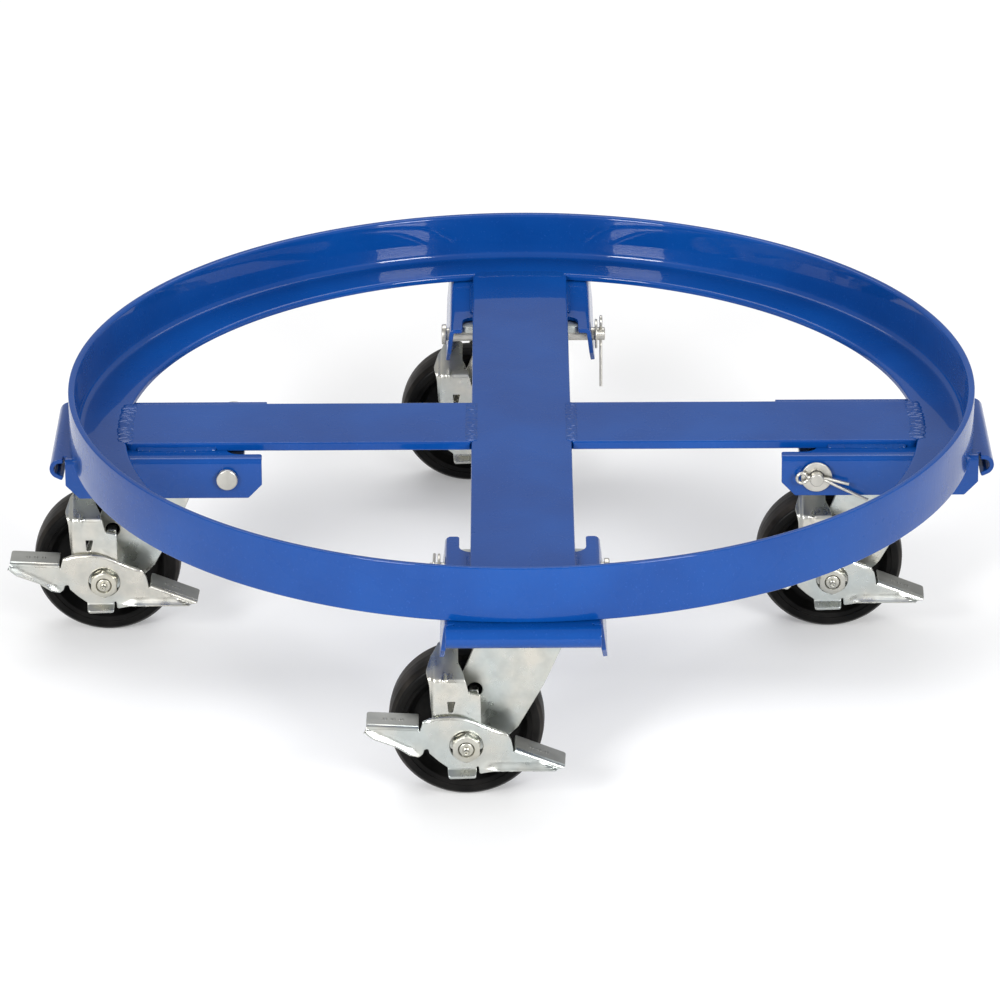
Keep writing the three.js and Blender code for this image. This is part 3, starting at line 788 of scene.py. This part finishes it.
def plate_sheet(name, place):
    long, side = PLATE_LENGTH / 2, PLATE_WIDTH / 2
    box = [(long, -side), (long, side), (-long, side), (-long, -side)]
    holes = [arc(0, 0, 7.35, 0, 350, 23)]
    for x in (-38, 38):
        for y in (-32, 32):
            holes.append(arc(x, y + 2.5, 4.4, 0, 180, 8) + arc(x, y - 2.5, 4.4, 180, 180, 8))

    def lie(x, y):
        return (x + CASTER_RADIUS, y, PLATE_TOP)

    return pressed(name, rounded(box, 8, 6), lie, place, STEEL, holes)


race_profile = rounded(
    [
        (13, RACE_BOTTOM + 2), (24, RACE_BOTTOM + 0.6, 2), (30, RACE_BOTTOM, 1),
        (36, RACE_BOTTOM + 1.2, 1.2), (36, RACE_BOTTOM + 3.4, 0.6), (34.4, RACE_BOTTOM + 3.9, 0.5),
        (35.6, RACE_BOTTOM + 4.6, 0.5), (35.2, RACE_TOP - 1.4, 1.5), (31, RACE_TOP, 1),
        (13, RACE_TOP),
    ],
    0.5,
)
kingpin_profile = [
    (0, KINGPIN_BOTTOM), (4, KINGPIN_BOTTOM + 0.2), (8, KINGPIN_BOTTOM + 1.2),
    (11, KINGPIN_BOTTOM + 3.4), (12.3, KINGPIN_BOTTOM + 6), (12.5, KINGPIN_BOTTOM + 7),
    (7, KINGPIN_BOTTOM + 7), (7, PLATE_TOP - 0.7), (6.5, PLATE_TOP - 0.2), (0, PLATE_TOP - 0.2),
]


def caster_place(heading, out=0.0, up=0.0):
    turn = math.radians(heading)
    x, y = CASTER_RADIUS * math.cos(turn) + out, CASTER_RADIUS * math.sin(turn)
    return lambda a, b, c: (x + a, y + b, up + c)


for corner, heading in CORNERS.items():
    name = f"{corner}_plate_steel"
    mesh = plate_sheet(name, corner_place(heading))
    even_light(add_piece(name, "frame", "zinc_plate", mesh, [zinc_plate], [f"{corner}_caster_plate"]))
    for name, profile, node in (
        ("race_pressed", race_profile, "ball_race"),
        ("kingpin_rivet", kingpin_profile, "kingpin"),
    ):
        points, faces = turned(profile, caster_place(heading), 72)
        mesh = merge_close(mesh_from(f"{corner}_{name}", points, faces, 50))
        add_piece(f"{corner}_{name}", "frame", "zinc_plate", mesh, [zinc_plate], [f"{corner}_{node}"])
print("plates and bearings")

# %% [markdown]
# ## Forks
#
# The fork is a blank folded into an upside-down U. Its legs slant back from the swivel to
# the axle, because a wheel that trails behind its swivel steers itself. On the blank, the
# first axis runs from the axle towards the kingpin and the second runs over the top, from
# one leg to the other.

# %% Fork
FORK_OUTSIDE = 21.6
FORK_BEND = 7.0
FORK_FLAT = FORK_OUTSIDE - FORK_BEND
FORK_SIDE = FORK_FLAT + FORK_BEND * math.pi / 2
LEG_RADIUS = 16.0
FORK_RISE = FORK_TOP - AXLE_HEIGHT
LEVER_HOLE = (5.5, 30.4)
LEVER_HOLE_RADIUS = 4.9


def leg_way(height):
    """Distance over the blank at which a leg reaches a height above the axle."""
    return FORK_SIDE + FORK_RISE - FORK_BEND - height


def fold_fork(x, t):
    sign = -1 if t < 0 else 1
    reach = abs(t) - FORK_FLAT
    if reach <= 0:
        return (x, t, FORK_RISE)
    turn = min(reach / FORK_BEND, math.pi / 2)
    rest = max(0, reach - FORK_BEND * math.pi / 2)
    out = FORK_FLAT + FORK_BEND * math.sin(turn)
    return (x, sign * out, FORK_RISE - FORK_BEND * (1 - math.cos(turn)) - rest)


def fork_sheet(name, place):
    foot = arc(0, 0, LEG_RADIUS, -50, -120, 12)
    side = [(63.4, 70, 4), (62.6, 62, 8), (50.4, 34, 30), (33.4, 3, 6), (21, -9, 5)]
    side += [(x, y, 0) for x, y in foot]
    side += [(-13.5, 16, 12), (-1.6, 44, 30), (6, 62, 10), (7, 70, 2)]
    right = [(x, leg_way(y), r) for x, y, r in side]
    left = [(x, -t, r) for x, t, r in reversed(right)]
    bends = [FORK_FLAT + FORK_BEND * math.pi / 2 * k / 8 for k in range(9)]
    along = bends + [FORK_SIDE + 14, FORK_SIDE + 28, FORK_SIDE + 42]
    along += [leg_way(height) for height in (50, 36, 22, 8, -6)]
    holes = [arc(LEAD, 0, 7.35, 0, 350, 23)]
    for sign in (-1, 1):
        holes.append([(x, sign * leg_way(y)) for x, y in arc(0, 0, 5.1, 0, 342, 19)])
    holes.append([(x, -leg_way(y)) for x, y in arc(*LEVER_HOLE, LEVER_HOLE_RADIUS, 0, 345, 23)])
    outline = rounded([*right, *left], 1, 5)
    across = [0, 12, 24, 36, 48]
    cuts = along + [-t for t in along]
    return pressed(name, outline, fold_fork, place, FORK_SHEET, holes, across, cuts)


dish_profile = rounded(
    [
        (7.4, FORK_TOP - 0.2), (18, FORK_TOP - 0.2, 3), (23, FORK_TOP - 1.5, 3),
        (30.6, FORK_TOP - 0.3, 2), (31, FORK_TOP - 2.4, 1), (29, FORK_TOP - 3.8, 1),
        (7.4, FORK_TOP - 3.8),
    ],
    0.5,
)
for corner, heading in CORNERS.items():
    place = caster_place(heading, -LEAD, AXLE_HEIGHT)
    body = f"{corner}_swivel"
    name = f"{corner}_fork_sheet"
    mesh = fork_sheet(name, place)
    even_light(add_piece(name, body, "zinc_plate", mesh, [zinc_plate], [f"{corner}_fork"]))
    points, faces = turned(dish_profile, caster_place(heading), 72)
    mesh = mesh_from(f"{corner}_fork_dish", points, faces, 50)
    add_piece(f"{corner}_fork_dish", body, "zinc_plate", mesh, [zinc_plate])
print("forks")

# %% [markdown]
# ## Wheels
#
# A moulded wheel has a thick rim and hub joined by a thinner web. The tread is a little
# crowned with round shoulders. The mould leaves a fine line round the middle of the tread
# and small steps where its rings meet.

# %% Wheel, bearing, axle and nut
WHEEL_HALF = 15.875
HUB_HALF = 17.2
NUT_FLATS = 17.4 / 2
NUT_END = 48.4
BOLT_FLATS = 7.45
TREAD_START = 47.6
RIM_INSIDE = 45.0


def axle_place(heading):
    """Turned pieces are drawn standing up, and here their height points to the pedal."""
    place = caster_place(heading, -LEAD, AXLE_HEIGHT)
    return lambda a, b, h: place(a, -h, b)


wheel_side = [
    (8.4, HUB_HALF - 0.6), (9.2, HUB_HALF, 0.3), (14.4, HUB_HALF, 1.2), (16.6, 8.4, 2.5),
    (22, 7.2, 3), (34.5, 7.2, 4), (38.5, 12.6, 2.0), (39.6, 14.6, 0.7), (42.2, 15.1, 0.6),
    (42.8, WHEEL_HALF, 0.4), (47.0, WHEEL_HALF, 2.6), (50.0, 11.4, 3.5),
    (WHEEL_RADIUS - 0.15, 5.0, 6), (WHEEL_RADIUS - 0.05, 0.35, 0.1),
]
wheel_rim = rounded(wheel_side, 0.5, 5, closed=False)
wheel_outline = wheel_rim + [(WHEEL_RADIUS, 0)] + [(r, -h) for r, h in reversed(wheel_rim)]
bushing_profile = rounded([(5.1, -17.5), (8, -17.5), (8, 17.5), (5.1, 17.5)], 0.5, 3)
nut_profile = [
    (5.1, 22.0), (8.9, 22.0), (9.1, 22.3), (9.1, 41.6), (9.1, 41.6, True), (9.9, 41.9, True),
    (9.9, 46.9, True), (9.5, 47.6, True), (8.9, 48.1, True), (8.2, NUT_END, True), (5.6, NUT_END),
    (5.1, NUT_END - 0.6),
]
axle_profile = [
    (0, 51.6), (0.7, 51.7), (0.75, 52.9), (1.0, 53.1), (1.5, 53.0), (1.9, 52.5), (2.05, 51.9),
    (1.9, 51.2), (1.5, 50.8), (1.5, 50.1), (2.3, 49.7), (2.5, 49.3), (2.5, 48.5), (4.1, 48.4),
    (4.6, 48.1), (4.76, 47.7), (4.76, -21.9), (7.4, -21.9), (8.6, -22.3, True), (8.6, -26.4, True),
    (8.2, -27.2, True), (7.2, -27.8, True), (0, -27.9),
]


def add_turned(name, profile, corner, body, slot, materials, node, steps=96, flats=None, sharp=38):
    points, faces = turned(profile, axle_place(CORNERS[corner]), steps, flats)
    mesh = merge_close(mesh_from(f"{corner}_{name}", points, faces, sharp))
    return add_piece(f"{corner}_{name}", body, slot, mesh, materials, [f"{corner}_{node}"])


for corner in CORNERS:
    moulding = ("wheel_moulded", wheel_outline, corner, f"{corner}_rolling", "wheel_black")
    wheel = add_turned(*moulding, [wheel_black, tread_black], "wheel", steps=144, sharp=50)
    middle = Vector(axle_place(CORNERS[corner])(0, 0, 0))
    for face in wheel.data.polygons:
        away = face.center / MM - middle
        out = math.hypot(away.x, away.z)
        if out > TREAD_START or abs(away.y) < 10 and out > RIM_INSIDE:
            face.material_index = 1
    rolling, swivel = f"{corner}_rolling", f"{corner}_swivel"
    sleeve = ("bearing_sleeve", bushing_profile, corner, rolling, "bushing_steel")
    add_turned(*sleeve, [dark_steel], "wheel_bushing")
    bolt = ("axle_bolt", axle_profile, corner, swivel, "zinc_plate")
    add_turned(*bolt, [nut_steel], "axle", flats=BOLT_FLATS)
    nut = ("nut_and_collar", nut_profile, corner, swivel, "zinc_plate")
    add_turned(*nut, [nut_steel], "axle_nut", flats=NUT_FLATS)
print("wheels and axles")

# %% [markdown]
# ## Brake pedals
#
# The pedal is a pressed rocker that turns on the nut's collar. Each end is a foot tab,
# folded back from the top edge, and a short lip at the bottom folds outward. The lower
# edges of the wings are flared to stiffen them. The blank's axes run from the axle towards
# the kingpin, and up.

# %% Pedal sizes and folds
PEDAL_FACE = 43.0
PEDAL_SHEET = 2.6
PEDAL_HOLE = 10.7
TAB_DEPTH = 20.7
TAB_BEND = 3.2
TAB_REST = TAB_DEPTH + TAB_BEND * (math.pi / 2 - 2)
RIGHT_TAB = (Vector((31.6, -2.1)), Vector((62.2, -14.3)))
LEFT_TAB = (Vector((-64.2, 15.2)), Vector((-30.6, 13.4)))
TOP_EDGE = [(-27.4, 18.8), (-23, 20.8), (-17, 21.7), (-8, 22.2)]
TOP_EDGE += [(0, 21), (7.3, 18), (17, 13.4), (25.8, 9.9)]
TOP_BEND = 3.0
TOP_TURN = math.radians(75)
LIP_START = -15.2
LIP_BEND = 1.8
LIP_TURN = math.radians(55)


def axes(start, end):
    ahead = (end - start).normalized()
    return ahead, Vector((-ahead.y, ahead.x))


def share(value, low, high):
    return min(1, max(0, (value - low) / (high - low)))


def height_at(points, x):
    for (x0, y0), (x1, y1) in zip(points, points[1:]):
        if x <= x1:
            break
    return y0 + (y1 - y0) * share(x, x0, x1)


def fold_tab(x, y):
    """The place of a point on a foot tab's bend or face, or None for other points."""
    for start, end in (RIGHT_TAB, LEFT_TAB):
        ahead, side = axes(start, end)
        away = Vector((x, y)) - start
        over = away.dot(side) + TAB_BEND
        along = away.dot(ahead)
        if over <= 0 or not -0.3 < along < (end - start).length + 0.3 + 4 * (start.x > 0):
            continue
        turn = min(over / TAB_BEND, math.pi / 2)
        rest = max(0, over - TAB_BEND * math.pi / 2)
        foot = start + ahead * along + side * TAB_BEND * (math.sin(turn) - 1)
        return foot.x, PEDAL_FACE - TAB_BEND * (1 - math.cos(turn)) - rest, foot.y
    return None


def fold_pedal(x, y):
    """Returns (x, distance outward, height)."""
    tab = fold_tab(x, y)
    if tab:
        return tab
    if -12.5 < x < 7.3 and y < LIP_START:
        turn = min((LIP_START - y) / LIP_BEND, LIP_TURN)
        rest = max(0, LIP_START - y - LIP_BEND * LIP_TURN)
        out = LIP_BEND * (1 - math.cos(turn)) + rest * math.sin(turn)
        return x, PEDAL_FACE + out, LIP_START - LIP_BEND * math.sin(turn) - rest * math.cos(turn)
    bend_start = height_at(TOP_EDGE, x) - TOP_BEND * TOP_TURN
    over = (y - bend_start) * share(x, -29.4, -26.4) * share(-x, -28.4, -24.4)
    if over > 0:
        turn = over / TOP_BEND
        return x, PEDAL_FACE - TOP_BEND * (1 - math.cos(turn)), y - over + TOP_BEND * math.sin(turn)
    low = -16.2 if x > 0 else 7.2 - 0.5 * (x + 59.5)
    near = 1 - share(y, low, low + 6.5)
    wing = share(x, 8, 20) + share(-x, 27, 36)
    return x, PEDAL_FACE + 3.0 * near * near * wing, y


# %% Pedal blank
def pedal_sheet(name, place):
    ahead, side = axes(*RIGHT_TAB)
    right_in = RIGHT_TAB[0] + side * TAB_REST
    right_out = RIGHT_TAB[1] + side * TAB_REST + ahead * 2.5
    ahead, side = axes(*LEFT_TAB)
    left_out = LEFT_TAB[0] + side * TAB_REST - ahead * 0.2
    left_in = LEFT_TAB[1] + side * TAB_REST
    outline = [
        (63.0, -16.6, 1.2), (*right_out, 2.0), (*right_in, 1.0), (31.3, -3.1, 0.3),
        (30.3, -4.6, 0.3), (30.2, -2.3, 0.8), (28.8, 4.6, 2),
        *[(x, y, 12) for x, y in reversed(TOP_EDGE)],
        (-29.2, 13.0, 0.8), (-29.7, 10.7, 0.3), (-30.5, 10.7, 0.3), (*left_in, 1.0),
        (*left_out, 2.0), (-64.6, 10.8, 1.6), (-59.5, 7.2, 10), (-44, 0.5, 14), (-30.8, -7.6, 2.2),
        (-28, -5.6, 1), (-27.2, -2.6, 1.4), (-24.6, -1.6, 1.2), (-23.8, -5.2, 1.2),
        (-17.7, -11, 10), (-12.2, -15.2, 0.8), (-11.6, -22.4, 2.0), (6.2, -21.8, 1.6),
        (6.6, -14.8, 0.6), (7.8, -14.6, 0.6), (8.2, -20, 1.2), (17, -17.4, 8), (27, -16.4, 14),
        (45, -16.6, 14),
    ]
    lines = []
    for start, end in (RIGHT_TAB, LEFT_TAB):
        ahead, side = axes(start, end)
        for way in [TAB_BEND * (math.pi / 2 * k / 8 - 1) for k in range(9)] + [8, 14]:
            lines.append(((*(start + side * way), 0), (*side, 0)))
    along = [LIP_START - LIP_BEND * LIP_TURN * k / 4 for k in range(5)]
    along += [-13.5 + 1.1 * k for k in range(33)]
    across = [2.5 * k for k in range(-26, 25)]
    holes = [arc(0, 0, PEDAL_HOLE, 0, 353, 47)]
    outline = rounded(outline, 1, 5)
    return pressed(name, outline, fold_pedal, place, PEDAL_SHEET, holes, across, along, lines)


# %% [markdown]
# The grip marks on the foot tabs are short raised bars, pressed from below. They are laid
# as small separate ridges, half sunk into the tab.

# %% Pedal pieces
GRIP_START = 10.5
GRIP_STEP = 1.9
GRIP_PAIR_GAP = 1.6
GRIP_OVER = 9.5
GRIP_LENGTH, GRIP_WIDTH, GRIP_HEIGHT = 3.4, 0.7, 0.4
TAB_SEEN = 30


def ridge(centre, ahead, side, place):
    """A rounded bar on the tab's face. centre, ahead and side are on the blank."""
    points = []
    steps, count = 10, 8
    for i in range(steps + 1):
        swell = math.sqrt(max(0.0004, 1 - (2 * i / steps - 1) ** 4))
        way = centre + side * GRIP_LENGTH * (i / steps - 0.5)
        for k in range(count):
            turn = 2 * math.pi * k / count
            x, out, up = fold_pedal(*(way + ahead * GRIP_WIDTH * swell * math.cos(turn)))
            points.append(place(x, out, up + GRIP_HEIGHT * swell * math.sin(turn)))
    return points, skin(steps + 1, count)


def outward_place(heading):
    """Carries (x, distance outward, height) to a caster. Outward is towards the pedal."""
    carry = caster_place(heading, -LEAD, AXLE_HEIGHT)
    return lambda x, out, up: carry(x, -out, up)


for corner, heading in CORNERS.items():
    place = outward_place(heading)
    body = f"{corner}_pedal"
    name = f"{corner}_pedal_pressing"
    mesh = pedal_sheet(name, place)
    piece = add_piece(name, body, "zinc_plate", mesh, [zinc_plate, sanded_zinc], [f"{corner}_brake_pedal"])
    middle = Vector(place(0, 0, 0))
    for face in piece.data.polygons:
        at = face.center / MM - middle
        if abs(at.x) > TAB_SEEN and -at.y < PEDAL_FACE - TAB_BEND + 0.05 and face.normal.z > 0.7:
            face.material_index = 1
    even_light(piece)
    points, faces = [], []
    for start, end in (RIGHT_TAB, LEFT_TAB):
        ahead, side = axes(start, end)
        for k in range(6):
            along = GRIP_START + GRIP_STEP * k + GRIP_PAIR_GAP * (k // 2)
            centre = start + ahead * along + side * GRIP_OVER
            some, loops = ridge(centre, ahead, side, place)
            faces += [[i + len(points) for i in loop] for loop in loops]
            points += some
    mesh = mesh_from(f"{corner}_pedal_grips", points, faces, 80)
    add_piece(f"{corner}_pedal_grips", body, "zinc_plate", mesh, [sanded_zinc])
print("pedals")

# %% [markdown]
# ## Brake arms
#
# The arm is a pressed strip behind the pedal. It stands upright, then leans in over the
# fork leg, and it is stiffened by a dimple on the bend and a turned-back edge. A narrow
# window is cut through its lower half.

# %% Brake arm
ARM_FACE = 39.4
ARM_SHEET = 2.5
ARM_BEND = 45.6
ARM_BEND_RADIUS = 5.0
ARM_LEAN = math.radians(48)
ARM_BEND_START = ARM_BEND - 3


def fold_arm(x, y):
    over = y - ARM_BEND_START
    turn = min(max(0, over / ARM_BEND_RADIUS), ARM_LEAN)
    rest = max(0, over - ARM_BEND_RADIUS * ARM_LEAN)
    out = ARM_FACE - ARM_BEND_RADIUS * (1 - math.cos(turn)) - rest * math.sin(turn)
    up = min(y, ARM_BEND_START) + ARM_BEND_RADIUS * math.sin(turn) + rest * math.cos(turn)
    dimple = max(0, 1 - abs(x + 14.5) / 2.4 - abs(y - ARM_BEND) / 6.5)
    edge = share(-x, 19.5, 22.7) ** 2
    slant = abs(y - 20 + 0.45 * x) / 4.5
    shoulder = max(0, 1 - slant * slant) * share(x, -4, 0)
    return x, out + 1.6 * dimple - 2.4 * edge + 0.9 * shoulder, up


def arm_sheet(name, place):
    outline = [
        (9.6, 12.5, 1), (9.3, 34.4, 1), (1.8, 36.0, 1), (0.4, 42, 3), (-1.6, 50, 3), (-5, 58, 3),
        (-5, 73, 2), (-17.5, 73, 3), (-22.6, 62, 10), (-25.8, 51, 6), (-23.6, 40, 8),
        (-22.7, 22, 4), (-22.2, 14.5, 2), (-17, 12.5, 3),
    ]
    window = rounded([(-8.7, 22.4), (-7, 30), (-12, 30), (-11.4, 22.4)], 0.4, 3)
    across = [-23 + 0.8 * k for k in range(5)] + [-18 + 0.8 * k for k in range(10)]
    across += [-8, -4, -2, 0, 2, 4, 6]
    along = [ARM_BEND_START + 0.42 * k for k in range(11)] + [2 * k for k in range(7, 21)]
    along += [52, 58, 62]
    return pressed(name, rounded(outline, 1, 5), fold_arm, place, ARM_SHEET, [window], across, along)


# %% [markdown]
# A small lug of the arm reaches through the round hole in the fork leg. It is what works
# the lock inside.

# %% Brake arm pieces
LUG_ACROSS = (1.9, 8.0)
LUG_UP = (27.2, 31.8)
LUG_OUT = (17.0, 25.5)


def lug_block(x0, x1, y0, y1, inner, outer, edge=0.7):
    """A block with rounded edges, from a rounded outline stepped inward at its outer end."""
    outline = [Vector(p) for p in rounded([(x0, y0), (x1, y0), (x1, y1), (x0, y1)], 1.2, 4)]
    turns = (0, 0.5, 1.1, 1.5)
    rows = [(edge * (1 - math.cos(a)), outer - edge * (1 - math.sin(a))) for a in turns]
    rows.insert(0, (0, inner))
    points = []
    for gap, out in rows:
        points += [(x, out, y) for x, y in inset(outline, gap)]
    return points, skin(len(rows), len(outline))


for corner, heading in CORNERS.items():
    place = outward_place(heading)
    body = f"{corner}_lifter"
    name = f"{corner}_arm_pressing"
    mesh = arm_sheet(name, place)
    even_light(add_piece(name, body, "zinc_plate", mesh, [zinc_plate], [f"{corner}_brake_arm"]))
    points, faces = lug_block(*LUG_ACROSS, *LUG_UP, *LUG_OUT)
    mesh = mesh_from(f"{corner}_lever_lug", [place(*point) for point in points], faces, 50)
    even_light(add_piece(f"{corner}_lever_lug", body, "zinc_plate", mesh, [zinc_plate]))
print("brake arms")

# %% [markdown]
# ## Clevis pins, washers and cotters
#
# The pin is turned, with a round head on one side of the bracket. On the other side a flat
# washer and a split cotter keep it in. The cotter is wire bent back on itself, with a
# round eye and two legs that are spread once they are through the pin.

# %% Pins, washers and cotters
PIN_RADIUS = 4.76
PIN_END = 61.2
HEAD_START = 53.3
COTTER_AT = 58.2
COTTER_WIRE = 1.05
COTTER_LIE = {"right": 4, "rear": 84, "left": -12, "front": 150}

pin_profile = rounded(
    [
        (0, -PIN_END, 0), (PIN_RADIUS, -PIN_END, 1.1), (PIN_RADIUS, HEAD_START, 0.3),
        (7.3, HEAD_START, 0.4), (7.3, HEAD_START + 3.4, 1.0), (0, HEAD_START + 3.4, 0),
    ],
    0.4,
    5,
    closed=False,
)
washer_profile = rounded([(5.2, -55.6), (10.6, -55.6, 0.5), (10.6, -53.9, 0.3), (5.2, -53.9)], 0.3, 3)


def pin_place(heading, lie):
    turn = Matrix.Rotation(math.radians(heading), 3, "Z")
    tip = Matrix.Rotation(math.radians(lie), 3, "Y")

    def place(x, y, z):
        return turn @ (tip @ Vector((x, y, z)) + Vector((PIN_OUT, 0, PIN_HEIGHT)))

    return place


def cotter_path():
    eye = -PIN_RADIUS - 5.2
    loop = [(x, 0, z) for x, z in arc(eye, 0, 3.6, 38, 284, 10)]
    upper = [(22, 0, -2.4), (16, 0, -1.2), (10, 0, 0.1), (5.2, 0, 0.8), (-4.9, 0, 0.8)]
    lower = [(-4.9, 0, -0.8), (5.2, 0, -0.8), (9, 0, -2.0), (14, 0, -4.2), (22, 0, -7.5)]
    lower += [(31, 0, -11.2), (36, 0, -13.2)]
    return [(x, y - COTTER_AT, z) for x, y, z in [*upper, *loop, *lower]]


for corner, heading in CORNERS.items():
    place = pin_place(heading, COTTER_LIE[corner])
    body = f"{corner}_pin"
    for name, profile, node in (
        ("pin_turned", pin_profile, "clevis_pin"),
        ("washer_stamped", washer_profile, "washer"),
    ):
        points, faces = turned(profile, lambda a, b, h: place(b, h, a))
        mesh = merge_close(mesh_from(f"{corner}_{name}", points, faces, 45))
        add_piece(f"{corner}_{name}", body, "pin_steel", mesh, [pin_steel], [f"{corner}_{node}"])
    section = arc(0, 0, COTTER_WIRE, 0, 330, 11)
    points, faces = swept(smooth_path(cotter_path()), section, place)
    mesh = mesh_from(f"{corner}_cotter_wire", points, faces, 60)
    add_piece(f"{corner}_cotter_wire", body, "pin_steel", mesh, [pin_steel], [f"{corner}_cotter"])
print("pins and cotters")

# %% [markdown]
# ## Floor, light and camera
#
# The dolly stands on a pale floor in a white studio. Two soft boxes stand in front, to the
# left and the right, and a wide panel hangs over the floor behind. Enamel and zinc need
# something with an edge to reflect, which is what makes them read as gloss and metal.

# %% Floor
def floor_finish():
    material, shader, wire = start_finish("studio_floor", Roughness=0.85, Emission_Strength=0.22)
    shader.inputs["Emission Color"].default_value = (1, 1, 1, 1)
    colour = grain(wire, 300).blend((0.64, 0.64, 0.64, 1), (0.67, 0.67, 0.67, 1))
    finish(shader, wire, colour)
    return material


FLOOR_HALF = 12.0
FLOOR_GAP = 0.0002
level = FLOOR * MM - FLOOR_GAP
corners = [(FLOOR_HALF * x, FLOOR_HALF * y) for x, y in ((-1, -1), (1, -1), (1, 1), (-1, 1))]
floor_mesh = bpy.data.meshes.new("floor")
floor_mesh.from_pydata([(x, y, level) for x, y in corners], [], [(0, 1, 2, 3)])
floor_mesh.materials.append(floor_finish())
floor = bpy.data.objects.new("floor", floor_mesh)
bpy.context.scene.collection.objects.link(floor)
print("floor at", round(FLOOR, 1), "mm")

# %% Lights
def soft_light(name, place, target, width, height, power):
    data = bpy.data.lights.new(name, "AREA")
    data.shape = "RECTANGLE"
    data.size = width
    data.size_y = height
    data.energy = power
    light = bpy.data.objects.new(name, data)
    light.location = place
    light.rotation_mode = "QUATERNION"
    light.rotation_quaternion = (Vector(target) - Vector(place)).to_track_quat("-Z", "Y")
    bpy.context.scene.collection.objects.link(light)


SOFTBOX_SIDE, SOFTBOX_FRONT, SOFTBOX_UP = 1.49, -2.29, 1.24
SOFTBOX_WIDTH, SOFTBOX_HEIGHT, SOFTBOX_POWER = 0.72, 0.9, 64
for name, side in (("softbox_left", -1), ("softbox_right", 1)):
    stand = (side * SOFTBOX_SIDE, SOFTBOX_FRONT, SOFTBOX_UP)
    soft_light(name, stand, (0, 0, 0), SOFTBOX_WIDTH, SOFTBOX_HEIGHT, SOFTBOX_POWER)
soft_light("panel_behind", (0, 1.5, 2.3), (0, 1.1, 0), 3.0, 1.6, 44)

world = bpy.data.worlds.new("studio")
bpy.context.scene.world = world
world.use_nodes = True
world.node_tree.nodes["Background"].inputs["Color"].default_value = (1, 1, 1, 1)
world.node_tree.nodes["Background"].inputs["Strength"].default_value = 0.5

# %% Camera
CAMERA_STAND = (-10.2, -3373.7, 1470.6)
LOOK_DOWN = 24.39
TURN, ROLL = 0.08, -0.3
SENSOR, LENS = 36, 193

camera_data = bpy.data.cameras.new("camera")
camera = bpy.data.objects.new("camera", camera_data)
bpy.context.scene.collection.objects.link(camera)
camera_data.sensor_width = SENSOR
camera_data.lens = LENS
camera.location = Vector(CAMERA_STAND) * MM
turn = Matrix.Rotation(math.radians(TURN), 3, "Z")
tilt = Matrix.Rotation(math.radians(90 - LOOK_DOWN), 3, "X")
look = turn @ tilt @ Matrix.Rotation(math.radians(ROLL), 3, "Z")
camera.rotation_mode = "QUATERNION"
camera.rotation_quaternion = look.to_quaternion()
camera_data.clip_start, camera_data.clip_end = 0.05, 60
bpy.context.scene.camera = camera
bpy.context.scene.view_settings.view_transform = "Standard"
print("camera looks down", LOOK_DOWN, "degrees")
